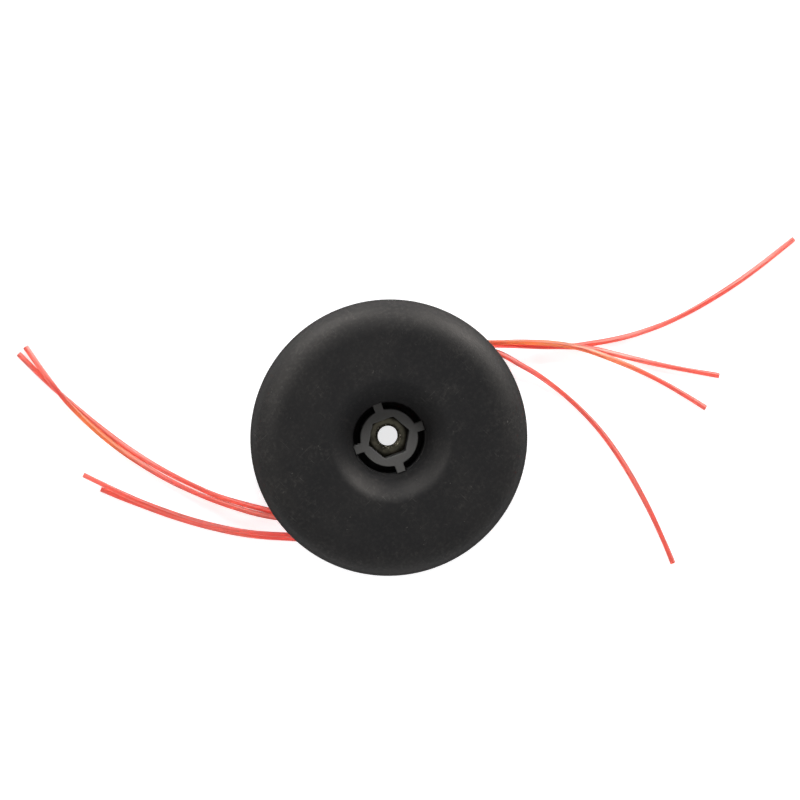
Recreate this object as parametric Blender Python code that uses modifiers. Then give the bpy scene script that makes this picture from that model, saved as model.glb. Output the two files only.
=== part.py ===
"""Four-line trimmer head, lying with its gearbox side down and its glide bowl up.

Units are metres, +Z up. The origin is the centre of the gearbox seat, on the ground.
+X and -X run through the two ports where the cutting lines leave the head.
"""

import math

import bmesh
import bpy
from mathutils import Matrix, Vector

MM = 0.001

# Fits
GAP = 0.3 * MM
CUT_MARGIN = 1.0 * MM
JOIN_DEPTH = 0.5 * MM

# Glide bowl
BOWL_RADIUS = 67.0 * MM
BOWL_HEIGHT = 38.0 * MM
BOWL_WALL = 3.0 * MM
SHOULDER_RADIUS = 16.0 * MM
RIM_DRAFT = 0.7 * MM
RIM_OVERLAP = 2.6 * MM
MOUTH_RADIUS = 31.0 * MM
THROAT_RADIUS = 17.4 * MM
THROAT_EDGE = 0.5 * MM
THROAT_DROP = 17.1 * MM
FUNNEL_LIP = 0.1 * MM
FUNNEL_LEAN = 3.2 * MM
FUNNEL_RISE = 5.8 * MM
FUNNEL_SWEEP = 6.5 * MM
COLLAR_WALL = 2.2 * MM
COLLAR_DRAFT = 0.2 * MM
COLLAR_FLARE = 1.4 * MM
COLLAR_FLARE_DEPTH = 4.0 * MM
UNDER_LEAN = 3.6 * MM
UNDER_RISE = 6.6 * MM
UNDER_SWEEP = 5.0 * MM
BOWL_RIB_COUNT = 8
BOWL_RIB_DEPTH = 3.0 * MM
BOWL_RIB_THICKNESS = 1.8 * MM

# Head body
SKIRT_WALL = 3.0 * MM
SKIRT_DRAFT = 0.9 * MM
SKIRT_HEIGHT = 15.3 * MM
FOOT_CHAMFER = 0.8 * MM
FLOOR_LOW = 2.4 * MM
FLOOR_HIGH = 4.4 * MM
SEAT_RADIUS = 20.0 * MM
HUB_RADIUS = 14.0 * MM
HUB_FACE = 21.0 * MM
HUB_FILLET = 2.0 * MM
HUB_EDGE = 0.5 * MM
LUG_COUNT = 4
LUG_ANGLE = -26.0
LUG_WIDTH = 4.45 * MM
LUG_REACH = 17.75 * MM
LUG_DEPTH = 3.5 * MM
SKIRT_RIB_COUNT = 12
SKIRT_RIB_THICKNESS = 1.6 * MM
SKIRT_RIB_RISE = 0.5 * MM

# Drive nut and bush
NUT_FLATS = 18.0 * MM
NUT_DEPTH = 6.0 * MM
NUT_BORE = 10.1 * MM
NUT_COUNTERSINK = 12.6 * MM
NUT_FACE_SHARE = 0.97
NUT_CHAMFER_ANGLE = 28.0
NUT_SINK_ANGLE = 30.0
NUT_ANGLE = -26.4
POCKET_CLEARANCE = 0.25 * MM
POCKET_FLOOR = 6.5 * MM
BUSH_BORE = 12.6 * MM
BUSH_WALL = 1.7 * MM
BUSH_FLANGE_RADIUS = 9.6 * MM
BUSH_FLANGE_DEPTH = 1.2 * MM
BUSH_EDGE = 0.4 * MM

# Screw posts, sleeves and screws
POST_COUNT = 4
POST_ANGLE = 44.0
POST_INSET = 21.7 * MM
POST_RADIUS = 4.3 * MM
POST_TOP = 20.0 * MM
POST_FOOT_RADIUS = 6.2 * MM
POST_FOOT_RISE = 0.4 * MM
BOSS_RADIUS = 4.6 * MM
SLEEVE_WALL = 0.8 * MM
SLEEVE_TOP = 16.5 * MM
SCREW_RADIUS = 1.9 * MM
SCREW_TOP = 31.0 * MM
SCREW_POINT = 2.2 * MM
SCREW_HEAD_RADIUS = 3.8 * MM
SCREW_HEAD_DEPTH = 2.2 * MM
SCREW_HEAD_EDGE = 1.0 * MM
SCREW_TIP_RADIUS = 0.7 * MM
SCREW_SEAT = 3.4 * MM
SCREW_SOCKET_FLATS = 3.0 * MM
SCREW_SOCKET_DEPTH = 1.4 * MM

# Ports
PORT_LENGTH = 36.4 * MM
PORT_HEIGHT = 8.6 * MM
PORT_MIDDLE = 9.4 * MM
PORT_INSET = 5.2 * MM
PORT_DEPTH = 3.8 * MM
HOUSING_LENGTH = 43.6 * MM
LINER_WALL = 0.7 * MM
LINER_PROUD = 0.5 * MM
LINER_LIP = 0.8 * MM
LINER_LIP_DEPTH = 0.6 * MM

# Cutting lines
LINE_DIAMETER = 2.4 * MM
LINE_STEP = 3.0 * LINE_DIAMETER
LOW_WRAP = 7.0 * MM
HIGH_WRAP = 10.2 * MM

# Facets
MERGE_DISTANCE = 0.01 * MM
ROUND_STEPS = 56
HUB_STEPS = 32
SMALL_STEPS = 20
SCREW_STEPS = 12
PORT_END_STEPS = 8
WRAP_STEPS = 9

# Sizes that follow from the ones above
RIM_LOW = SKIRT_HEIGHT + GAP
RIM_INNER_RADIUS = BOWL_RADIUS - RIM_DRAFT - BOWL_WALL - GAP
SPIGOT_RADIUS = RIM_INNER_RADIUS - GAP
SPIGOT_TOP = RIM_LOW + RIM_OVERLAP
SHOULDER_CENTRE = BOWL_RADIUS - SHOULDER_RADIUS
SHOULDER_LEVEL = BOWL_HEIGHT - SHOULDER_RADIUS
THROAT_LEVEL = BOWL_HEIGHT - THROAT_DROP
COLLAR_RADIUS = THROAT_RADIUS + COLLAR_WALL
POCKET_FLATS = NUT_FLATS + POCKET_CLEARANCE
BUSH_RADIUS = BUSH_BORE / 2 + BUSH_WALL
SLEEVE_RADIUS = POST_RADIUS + GAP + SLEEVE_WALL
WRAP_RADIUS = SLEEVE_RADIUS + GAP + LINE_DIAMETER / 2
PORT_CUT = LINER_WALL + GAP
PORT_FACE = BOWL_RADIUS - PORT_INSET
PORT_BACK = PORT_FACE - PORT_DEPTH
POST_CIRCLE = BOWL_RADIUS - POST_INSET

# Routes of the eight tails, in millimetres, from the port outward to the cut end
TAIL_RIGHT_UP = (
    (61.8, -1.0, 6.7), (70.0, -9.6, 5.8), (79.8, -20.9, 3.7), (86.2, -28.0, 2.5),
    (95.8, -37.4, 1.5), (102.5, -42.7, 1.4), (108.9, -47.5, 1.4), (115.7, -52.1, 1.4),
    (123.4, -56.6, 1.4), (134.9, -62.3, 1.4), (147.3, -67.0, 1.4), (160.6, -70.9, 1.4),
    (174.5, -74.2, 1.4), (189.1, -76.8, 1.4), (204.3, -78.9, 1.4), (209.7, -79.6, 1.4),
)
TAIL_RIGHT_MIDDLE = (
    (61.8, 0.1, 9.4), (70.3, -9.0, 8.5), (79.9, -20.2, 6.5), (86.2, -27.5, 5.3),
    (95.7, -37.9, 4.2), (99.2, -42.4, 3.9), (103.1, -48.4, 3.2), (108.9, -58.4, 1.9),
    (113.6, -66.5, 1.4), (119.9, -76.9, 1.4), (126.7, -87.4, 1.4), (135.3, -100.2, 1.4),
)
TAIL_RIGHT_TOP = (
    (61.8, 1.2, 12.1), (70.8, -7.4, 11.2), (75.6, -12.3, 10.2), (81.0, -18.1, 9.1),
    (86.3, -24.4, 8.1), (91.2, -30.9, 7.4), (95.6, -37.7, 7.0), (99.6, -45.3, 6.3),
    (104.7, -57.2, 4.6), (109.6, -70.2, 2.4), (113.7, -83.2, 1.4), (117.1, -97.0, 1.4),
    (119.2, -106.7, 1.4),
)
TAIL_RIGHT_DOWN = (
    (61.8, -3.6, 11.0), (65.7, -9.3, 9.9), (67.9, -14.6, 8.7), (70.1, -23.3, 6.6),
    (72.4, -32.5, 4.5), (74.0, -42.4, 2.7), (75.0, -52.8, 1.6), (75.2, -63.8, 1.4),
    (74.5, -75.8, 1.4), (72.4, -89.2, 1.4), (68.6, -104.9, 1.4), (63.1, -122.5, 1.4),
    (56.7, -139.3, 1.4), (52.3, -149.7, 1.4),
)
TAIL_LEFT_INSIDE = (
    (-61.8, 8.3, 6.8), (-67.9, 18.7, 5.2), (-73.9, 29.2, 3.3), (-79.4, 40.2, 1.9),
    (-83.9, 52.0, 1.4), (-87.6, 64.6, 1.4), (-90.6, 77.8, 1.4), (-92.8, 91.7, 1.4),
    (-94.2, 106.4, 1.4), (-95.0, 121.5, 1.4), (-95.4, 137.0, 1.4), (-94.8, 156.5, 1.4),
)
TAIL_LEFT_OVER = (
    (-61.8, 4.9, 9.5), (-70.3, 17.0, 7.6), (-76.2, 27.4, 5.6), (-81.6, 38.4, 3.7),
    (-86.2, 50.0, 2.3), (-90.1, 62.5, 1.9), (-93.0, 75.8, 2.3), (-95.1, 89.9, 3.0),
    (-96.1, 105.0, 3.7), (-95.8, 121.2, 4.2), (-94.6, 131.0, 4.2), (-92.6, 143.5, 3.0),
    (-90.0, 156.3, 1.5),
)
TAIL_LEFT_TOP = (
    (-61.8, -8.0, 9.6), (-68.5, 0.6, 8.2), (-76.9, 10.3, 6.4), (-84.1, 19.7, 5.0),
    (-90.5, 29.8, 4.3), (-96.3, 40.4, 4.2), (-101.5, 51.6, 4.1), (-106.3, 63.2, 4.0),
    (-110.5, 75.1, 3.6), (-114.4, 87.4, 2.8), (-116.3, 93.4, 2.4),
)
TAIL_LEFT_OUTSIDE = (
    (-61.8, -10.6, 6.8), (-69.3, -1.5, 5.4), (-78.3, 8.7, 3.4), (-85.4, 18.3, 2.1),
    (-91.6, 28.5, 1.5), (-97.4, 39.3, 1.4), (-102.7, 50.4, 1.4), (-107.6, 61.8, 1.4),
    (-112.4, 73.4, 1.4), (-115.8, 82.5, 1.4),
)

BLACK_NYLON = ("black_nylon", (0.02, 0.02, 0.02, 1.0), 0.55, 0.0)
GREY_NYLON = ("grey_nylon", (0.075, 0.073, 0.07, 1.0), 0.6, 0.0)
DARK_STEEL = ("dark_steel", (0.09, 0.085, 0.06, 1.0), 0.4, 0.9)
BRIGHT_STEEL = ("bright_steel", (0.45, 0.45, 0.44, 1.0), 0.35, 1.0)
ALUMINIUM = ("aluminium", (0.6, 0.6, 0.6, 1.0), 0.4, 1.0)
CORAL_LINE = ("coral_line", (0.85, 0.13, 0.09, 1.0), 0.35, 0.0)


def clear_scene():
    """Remove every object and the collections that held them."""
    for thing in list(bpy.data.objects):
        bpy.data.objects.remove(thing, do_unlink=True)
    for group in list(bpy.data.collections):
        bpy.data.collections.remove(group)


def make_collection(name):
    group = bpy.data.collections.new(name)
    bpy.context.scene.collection.children.link(group)
    return group


def make_material(finish):
    """Return the Principled material of a finish, made once and shared after that."""
    name, colour, roughness, metallic = finish
    material = bpy.data.materials.get(name)
    if material is None:
        material = bpy.data.materials.new(name)
        material.use_nodes = True
        shader = material.node_tree.nodes["Principled BSDF"]
        shader.inputs["Base Color"].default_value = colour
        shader.inputs["Roughness"].default_value = roughness
        shader.inputs["Metallic"].default_value = metallic
    return material


def place(thing, group, finish=None):
    """Link an object to its collection, as a part with a finish or as a cutter without one."""
    group.objects.link(thing)
    if finish is None:
        thing.hide_render = True
        thing.display_type = "WIRE"
    else:
        thing.data.materials.append(make_material(finish))
    return thing


def polar(radius, degrees, height=0.0):
    angle = math.radians(degrees)
    return Vector((radius * math.cos(angle), radius * math.sin(angle), height))


def arc(centre, radius, start, end, steps):
    """Points (r, z) along an arc from one angle to another, both ends included."""
    points = []
    for step in range(steps + 1):
        angle = math.radians(start + (end - start) * step / steps)
        points.append((centre[0] + radius * math.cos(angle), centre[1] + radius * math.sin(angle)))
    return points


def bezier(start, first, second, end, steps):
    """Points (r, z) along a cubic curve, both ends included."""
    points = []
    for step in range(steps + 1):
        t = step / steps
        weights = ((1 - t) ** 3, 3 * t * (1 - t) ** 2, 3 * t * t * (1 - t), t ** 3)
        corners = (start, first, second, end)
        points.append(tuple(sum(w * c[axis] for w, c in zip(weights, corners)) for axis in (0, 1)))
    return points


def turned(name, profile, steps, closed=True):
    """Turn a profile of (r, z) points round Z; it runs down its outer side first."""
    mesh = bpy.data.meshes.new(name)
    count = len(profile)
    edges = [(i, i + 1) for i in range(count - 1)]
    if closed:
        edges.append((count - 1, 0))
    mesh.from_pydata([(r, 0.0, z) for r, z in profile], edges, [])
    thing = bpy.data.objects.new(name, mesh)
    screw = thing.modifiers.new("turn", "SCREW")
    screw.axis = "Z"
    screw.angle = math.tau
    screw.steps = steps
    screw.render_steps = steps
    screw.use_merge_vertices = True
    screw.merge_threshold = MERGE_DISTANCE
    screw.use_normal_calculate = False
    return thing


def prism(name, sides, radius, low, high, degrees=0.0, centre=(0.0, 0.0)):
    """An upright prism or cylinder whose corners lie on the radius given."""
    mesh = bpy.data.meshes.new(name)
    builder = bmesh.new()
    bmesh.ops.create_cone(builder, cap_ends=True, segments=sides, radius1=radius, radius2=radius,
                          depth=high - low)
    turn = Matrix.Rotation(math.radians(degrees), 4, "Z")
    move = Matrix.Translation((centre[0], centre[1], (low + high) / 2))
    bmesh.ops.transform(builder, matrix=move @ turn, verts=builder.verts)
    builder.to_mesh(mesh)
    builder.free()
    return bpy.data.objects.new(name, mesh)


def block(name, low_corner, high_corner, degrees=0.0):
    """A box between two corners, turned about Z through the origin."""
    mesh = bpy.data.meshes.new(name)
    builder = bmesh.new()
    bmesh.ops.create_cube(builder, size=1.0)
    size = [high - low for low, high in zip(low_corner, high_corner)]
    middle = [(high + low) / 2 for low, high in zip(low_corner, high_corner)]
    shape = Matrix.Translation(middle) @ Matrix.Diagonal((*size, 1.0))
    turn = Matrix.Rotation(math.radians(degrees), 4, "Z")
    bmesh.ops.transform(builder, matrix=turn @ shape, verts=builder.verts)
    builder.to_mesh(mesh)
    builder.free()
    return bpy.data.objects.new(name, mesh)


def combine(thing, other, operation):
    """Add an exact Boolean of another object to this one."""
    step = thing.modifiers.new(other.name, "BOOLEAN")
    step.operation = operation
    step.object = other
    step.solver = "EXACT"


def cut(thing, cutter, cutters):
    place(cutter, cutters)
    combine(thing, cutter, "DIFFERENCE")


def join(thing, piece, cutters):
    place(piece, cutters)
    combine(thing, piece, "UNION")


def racetrack(length, height, steps):
    """Outline (y, z) of a slot with round ends, about its middle."""
    end_radius = height / 2
    reach = length / 2 - end_radius
    right = arc((reach, 0.0), end_radius, -90.0, 90.0, steps)
    left = arc((-reach, 0.0), end_radius, 90.0, 270.0, steps)
    return right + left


def outline_curve(name, points):
    """A closed flat curve through the points given."""
    data = bpy.data.curves.new(name, "CURVE")
    data.dimensions = "2D"
    spline = data.splines.new("POLY")
    spline.points.add(len(points) - 1)
    for point, (x, y) in zip(spline.points, points):
        point.co = (x, y, 0.0, 1.0)
    spline.use_cyclic_u = True
    return bpy.data.objects.new(name, data)


def face_port(side):
    """Matrix that stands a flat outline (y, z) in the port's plane, its depth along the port."""
    turn = Matrix(((0.0, 0.0, 1.0), (1.0, 0.0, 0.0), (0.0, 1.0, 0.0))).to_4x4()
    return Matrix.Rotation(0.0 if side > 0 else math.pi, 4, "Z") @ turn


def slot_solid(name, side, length, height, low, high):
    """A solid slot with round ends, standing across the port between two distances from the axis."""
    thing = outline_curve(name, racetrack(length, height, PORT_END_STEPS))
    thing.data.fill_mode = "BOTH"
    thing.data.extrude = (high - low) / 2
    thing.matrix_world = (Matrix.Translation((side * (low + high) / 2, 0.0, PORT_MIDDLE))
                          @ face_port(side))
    return as_mesh(thing)


def as_mesh(thing):
    """Make a curve into a closed mesh object at the same place."""
    scratch = bpy.context.scene.collection
    scratch.objects.link(thing)
    bpy.context.view_layer.update()
    evaluated = thing.evaluated_get(bpy.context.evaluated_depsgraph_get())
    mesh = bpy.data.meshes.new_from_object(evaluated)
    builder = bmesh.new()
    builder.from_mesh(mesh)
    bmesh.ops.remove_doubles(builder, verts=builder.verts, dist=MERGE_DISTANCE)
    bmesh.ops.recalc_face_normals(builder, faces=builder.faces)
    builder.to_mesh(mesh)
    builder.free()
    solid = bpy.data.objects.new(thing.name, mesh)
    solid.matrix_world = thing.matrix_world
    name = thing.name
    scratch.objects.unlink(thing)
    bpy.data.objects.remove(thing)
    solid.name = name
    return solid


def shade(thing, degrees=35.0):
    """Shade a mesh smooth, with the edges sharper than an angle kept."""
    thing.data.shade_smooth()
    thing.data.set_sharp_from_angle(angle=math.radians(degrees))


def bowl_profile():
    """Section of the glide bowl: over the shoulder, under the rim, up inside and out of the throat."""
    shoulder = (SHOULDER_CENTRE, SHOULDER_LEVEL)
    outer = arc(shoulder, SHOULDER_RADIUS, 90.0, 0.0, 8)
    rim = [(BOWL_RADIUS - RIM_DRAFT, RIM_LOW), (RIM_INNER_RADIUS, RIM_LOW)]
    inner = arc(shoulder, SHOULDER_RADIUS - BOWL_WALL, 0.0, 90.0, 4)
    under = bezier((MOUTH_RADIUS, BOWL_HEIGHT - BOWL_WALL),
                   (MOUTH_RADIUS - UNDER_SWEEP, BOWL_HEIGHT - BOWL_WALL),
                   (COLLAR_RADIUS + UNDER_LEAN, THROAT_LEVEL + UNDER_RISE),
                   (COLLAR_RADIUS + COLLAR_FLARE, THROAT_LEVEL), 4)
    collar = [(COLLAR_RADIUS, THROAT_LEVEL - COLLAR_FLARE_DEPTH),
              (COLLAR_RADIUS, FLOOR_HIGH + GAP),
              (THROAT_RADIUS + COLLAR_DRAFT, FLOOR_HIGH + GAP)]
    edge = arc((THROAT_RADIUS + THROAT_EDGE, THROAT_LEVEL - THROAT_EDGE), THROAT_EDGE,
               180.0, 110.0, 2)
    throat = bezier((edge[-1][0] + FUNNEL_LIP, THROAT_LEVEL + FUNNEL_LIP),
                    (THROAT_RADIUS + FUNNEL_LEAN, THROAT_LEVEL + FUNNEL_RISE),
                    (MOUTH_RADIUS - FUNNEL_SWEEP, BOWL_HEIGHT), (MOUTH_RADIUS, BOWL_HEIGHT), 6)
    return outer + rim + inner + under + collar + edge + throat


def make_glide_bowl(parts, cutters):
    """Domed shell with a throat round the hub, screw bosses and ribs under its top."""
    bowl = turned("glide_bowl", bowl_profile(), ROUND_STEPS)
    place(bowl, parts, BLACK_NYLON)
    rib_top = BOWL_HEIGHT - BOWL_WALL / 2
    rib_low = BOWL_HEIGHT - BOWL_WALL - BOWL_RIB_DEPTH
    for number in range(BOWL_RIB_COUNT):
        angle = POST_ANGLE + (number + 0.5) * 360.0 / BOWL_RIB_COUNT
        rib = block(f"bowl_rib_{number + 1}",
                    (MOUTH_RADIUS, -BOWL_RIB_THICKNESS / 2, rib_low),
                    (SHOULDER_CENTRE + BOWL_RIB_DEPTH, BOWL_RIB_THICKNESS / 2, rib_top), angle)
        join(bowl, rib, cutters)
    for number in range(POST_COUNT):
        spot = polar(POST_CIRCLE, POST_ANGLE + number * 360.0 / POST_COUNT)
        boss = prism(f"bowl_boss_{number + 1}", SMALL_STEPS, BOSS_RADIUS, POST_TOP + GAP,
                     BOWL_HEIGHT - BOWL_WALL / 2, centre=spot)
        join(bowl, boss, cutters)
        pilot = prism(f"boss_pilot_{number + 1}", SCREW_STEPS, SCREW_RADIUS + GAP,
                      POST_TOP - GAP, SCREW_TOP + 2 * GAP, centre=spot)
        cut(bowl, pilot, cutters)
    for number in range(LUG_COUNT):
        angle = LUG_ANGLE + number * 360.0 / LUG_COUNT
        notch = block(f"lug_notch_{number + 1}",
                      (HUB_RADIUS, -LUG_WIDTH / 2 - GAP, HUB_FACE - LUG_DEPTH - GAP),
                      (LUG_REACH + GAP, LUG_WIDTH / 2 + GAP, BOWL_HEIGHT), angle)
        cut(bowl, notch, cutters)
    shade(bowl)


def body_profile():
    """Section of the head body: skirt, foot, seat, bore, hub and floor."""
    skirt_inner = SPIGOT_RADIUS - SKIRT_WALL
    foot = SPIGOT_RADIUS - SKIRT_DRAFT
    bush_hole = BUSH_RADIUS + GAP
    flange_hole = BUSH_FLANGE_RADIUS + GAP
    flange_top = BUSH_FLANGE_DEPTH + GAP
    outer = [(SPIGOT_RADIUS, SPIGOT_TOP), (SPIGOT_RADIUS, SKIRT_HEIGHT), (foot, FOOT_CHAMFER),
             (foot - FOOT_CHAMFER, 0.0), (skirt_inner - GAP, 0.0), (skirt_inner - GAP, FLOOR_LOW)]
    seat = [(SEAT_RADIUS, FLOOR_LOW), (SEAT_RADIUS, 0.0), (flange_hole, 0.0),
            (flange_hole, flange_top), (bush_hole, flange_top), (bush_hole, HUB_FACE)]
    hub = [(HUB_RADIUS - HUB_EDGE, HUB_FACE), (HUB_RADIUS, HUB_FACE - HUB_EDGE)]
    fillet = arc((HUB_RADIUS + HUB_FILLET, FLOOR_HIGH + HUB_FILLET), HUB_FILLET, 180.0, 270.0, 3)
    return outer + seat + hub + fillet + [(skirt_inner, FLOOR_HIGH), (skirt_inner, SPIGOT_TOP)]


def make_head_body(parts, cutters):
    """Moulded body: hub with its lugs and nut pocket, floor, ribs, posts, skirt and ports."""
    body = turned("head_body", body_profile(), ROUND_STEPS)
    place(body, parts, GREY_NYLON)
    for number in range(LUG_COUNT):
        angle = LUG_ANGLE + number * 360.0 / LUG_COUNT
        lug = block(f"lug_{number + 1}",
                    (HUB_RADIUS - CUT_MARGIN, -LUG_WIDTH / 2, HUB_FACE - LUG_DEPTH),
                    (LUG_REACH, LUG_WIDTH / 2, HUB_FACE), angle)
        join(body, lug, cutters)
    for number in range(SKIRT_RIB_COUNT):
        angle = (number + 0.5) * 360.0 / SKIRT_RIB_COUNT
        rib = block(f"skirt_rib_{number + 1}",
                    (SEAT_RADIUS - JOIN_DEPTH, -SKIRT_RIB_THICKNESS / 2, SKIRT_RIB_RISE),
                    (SPIGOT_RADIUS - SKIRT_WALL + JOIN_DEPTH, SKIRT_RIB_THICKNESS / 2,
                     FLOOR_LOW + JOIN_DEPTH), angle)
        join(body, rib, cutters)
    for number in range(POST_COUNT):
        spot = polar(POST_CIRCLE, POST_ANGLE + number * 360.0 / POST_COUNT)
        foot = prism(f"post_foot_{number + 1}", SMALL_STEPS, POST_FOOT_RADIUS, POST_FOOT_RISE,
                     FLOOR_HIGH - JOIN_DEPTH, centre=spot)
        join(body, foot, cutters)
        post = prism(f"post_{number + 1}", SMALL_STEPS, POST_RADIUS, FLOOR_LOW + JOIN_DEPTH,
                     POST_TOP, centre=spot)
        join(body, post, cutters)
        head_hole = prism(f"head_hole_{number + 1}", SMALL_STEPS, SCREW_HEAD_RADIUS + GAP,
                          -CUT_MARGIN, SCREW_SEAT, centre=spot)
        cut(body, head_hole, cutters)
        screw_hole = prism(f"screw_hole_{number + 1}", SCREW_STEPS, SCREW_RADIUS + GAP,
                           SCREW_SEAT - CUT_MARGIN, POST_TOP + CUT_MARGIN, centre=spot)
        cut(body, screw_hole, cutters)
    for side, label in ((1, "right"), (-1, "left")):
        near, far = sorted((side * PORT_BACK, side * PORT_FACE))
        housing = block(f"{label}_housing", (near, -HOUSING_LENGTH / 2, FLOOR_LOW),
                        (far, HOUSING_LENGTH / 2, SKIRT_HEIGHT))
        join(body, housing, cutters)
        window = slot_solid(f"{label}_window", side, PORT_LENGTH + 2 * PORT_CUT,
                            PORT_HEIGHT + 2 * PORT_CUT, PORT_BACK - SKIRT_WALL, BOWL_RADIUS)
        cut(body, window, cutters)
        margin = 2 * (LINER_WALL + LINER_LIP + GAP)
        spot_face = slot_solid(f"{label}_spot_face", side, PORT_LENGTH + margin,
                               PORT_HEIGHT + margin, PORT_FACE, BOWL_RADIUS)
        cut(body, spot_face, cutters)
    corner = POCKET_FLATS / 2 / math.cos(math.pi / 6)
    pocket = prism("nut_pocket", 6, corner, POCKET_FLOOR, HUB_FACE + CUT_MARGIN, NUT_ANGLE)
    cut(body, pocket, cutters)
    shade(body)


def make_drive_nut(parts, cutters):
    """Thin hexagon nut at the foot of its pocket, chamfered on both faces."""
    low = POCKET_FLOOR + GAP
    high = low + NUT_DEPTH
    corner = NUT_FLATS / 2 / math.cos(math.pi / 6)
    nut = prism("drive_nut", 6, corner, low, high, NUT_ANGLE)
    place(nut, parts, DARK_STEEL)
    flat_radius = NUT_FLATS / 2 * NUT_FACE_SHARE
    drop = (corner - flat_radius) * math.tan(math.radians(NUT_CHAMFER_ANGLE))
    chamfer = turned("nut_chamfer", [(0.0, high), (flat_radius, high), (corner, high - drop),
                                     (corner, low + drop), (flat_radius, low), (0.0, low)],
                     HUB_STEPS, closed=False)
    place(chamfer, cutters)
    combine(nut, chamfer, "INTERSECT")
    bore = NUT_BORE / 2
    mouth = NUT_COUNTERSINK / 2
    sink = (mouth - bore) * math.tan(math.radians(NUT_SINK_ANGLE))
    thread = turned("nut_bore", [(0.0, high + GAP), (mouth, high + GAP), (mouth, high),
                                 (bore, high - sink), (bore, low + sink), (mouth, low),
                                 (mouth, low - GAP), (0.0, low - GAP)], HUB_STEPS, closed=False)
    cut(nut, thread, cutters)
    shade(nut, 20.0)


def make_shaft_bush(parts):
    """Flanged steel bush that lines the shaft bore under the nut."""
    bore = BUSH_BORE / 2
    profile = [(BUSH_RADIUS, POCKET_FLOOR), (BUSH_RADIUS, BUSH_FLANGE_DEPTH),
               (BUSH_FLANGE_RADIUS, BUSH_FLANGE_DEPTH), (BUSH_FLANGE_RADIUS, 0.0),
               (bore + BUSH_EDGE, 0.0), (bore, BUSH_EDGE), (bore, POCKET_FLOOR)]
    bush = turned("shaft_bush", profile, HUB_STEPS)
    place(bush, parts, BRIGHT_STEEL)
    shade(bush)


def make_post_sleeve(number, parts):
    """Aluminium sleeve over an anchor post, for the lines to bear on."""
    spot = polar(POST_CIRCLE, POST_ANGLE + (number - 1) * 180.0)
    inner = POST_RADIUS + GAP
    low = FLOOR_HIGH + GAP
    profile = [(SLEEVE_RADIUS, SLEEVE_TOP), (SLEEVE_RADIUS, low), (inner, low),
               (inner, SLEEVE_TOP)]
    sleeve = turned(f"post_sleeve_{number}", profile, SMALL_STEPS)
    sleeve.location = spot
    place(sleeve, parts, ALUMINIUM)
    shade(sleeve)


def make_bowl_screw(number, parts, cutters):
    """Self-tapping pan-head screw, driven from the gearbox side into a bowl boss."""
    spot = polar(POST_CIRCLE, POST_ANGLE + (number - 1) * 360.0 / POST_COUNT)
    head_top = SCREW_SEAT - GAP
    head_low = head_top - SCREW_HEAD_DEPTH
    edge_middle = SCREW_HEAD_EDGE * (1.0 - math.cos(math.radians(45.0)))
    profile = [(0.0, SCREW_TOP), (SCREW_TIP_RADIUS, SCREW_TOP),
               (SCREW_RADIUS, SCREW_TOP - SCREW_POINT), (SCREW_RADIUS, head_top),
               (SCREW_HEAD_RADIUS, head_top), (SCREW_HEAD_RADIUS, head_low + SCREW_HEAD_EDGE),
               (SCREW_HEAD_RADIUS - edge_middle, head_low + edge_middle),
               (SCREW_HEAD_RADIUS - SCREW_HEAD_EDGE, head_low), (0.0, head_low)]
    screw = turned(f"bowl_screw_{number}", profile, SCREW_STEPS, closed=False)
    screw.location = spot
    place(screw, parts, BRIGHT_STEEL)
    corner = SCREW_SOCKET_FLATS / 2 / math.cos(math.pi / 6)
    socket = prism(f"screw_socket_{number}", 6, corner, head_low - CUT_MARGIN,
                   head_low + SCREW_SOCKET_DEPTH, centre=spot)
    cut(screw, socket, cutters)
    shade(screw)


def make_port_liner(side, label, parts, cutters):
    """Aluminium liner of a port, with a lip outside that keeps the lines off the moulding."""
    outer_length = PORT_LENGTH + 2 * LINER_WALL
    outer_height = PORT_HEIGHT + 2 * LINER_WALL
    back = PORT_BACK - LINER_PROUD
    lip = PORT_FACE + GAP
    front = lip + LINER_LIP_DEPTH
    liner = slot_solid(f"port_liner_{label}", side, outer_length, outer_height, back, front)
    place(liner, parts, ALUMINIUM)
    lip_solid = slot_solid(f"liner_lip_{label}", side, outer_length + 2 * LINER_LIP,
                           outer_height + 2 * LINER_LIP, lip, front)
    join(liner, lip_solid, cutters)
    opening = slot_solid(f"liner_opening_{label}", side, PORT_LENGTH, PORT_HEIGHT,
                         back - CUT_MARGIN, front + CUT_MARGIN)
    cut(liner, opening, cutters)
    shade(liner)


def smooth_route(route):
    """Points along a smooth curve through a tail's route, a step apart, from port to cut end."""
    knots = [Vector(point) * MM for point in route]
    before = knots[0] * 2 - knots[1]
    after = knots[-1] * 2 - knots[-2]
    padded = [before, *knots, after]
    points = [knots[0]]
    for a, b, c, d in zip(padded, padded[1:], padded[2:], padded[3:]):
        count = max(1, round((c - b).length / LINE_STEP))
        for step in range(1, count + 1):
            t = step / count
            points.append(0.5 * (2 * b + (c - a) * t + (2 * a - 5 * b + 4 * c - d) * t ** 2
                                 + (3 * b - a - 3 * c + d) * t ** 3))
    return points


def tangent_angle(post, target, turn):
    """Angle at the post where a line from the target meets its wrap, on one side or the other."""
    reach = target.xy - post.xy
    return math.atan2(reach.y, reach.x) + turn * math.acos(WRAP_RADIUS / reach.length)


def wrap_points(post, inner_start, outer_start, level):
    """Points round the far side of the post, from the inner tail's side to the outer tail's."""
    start = tangent_angle(post, inner_start, -1)
    end = tangent_angle(post, outer_start, 1) - math.tau
    while end > start:
        end -= math.tau
    points = []
    for step in range(WRAP_STEPS + 1):
        angle = start + (end - start) * step / WRAP_STEPS
        points.append(Vector((post.x + WRAP_RADIUS * math.cos(angle),
                              post.y + WRAP_RADIUS * math.sin(angle), level)))
    return points


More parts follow.
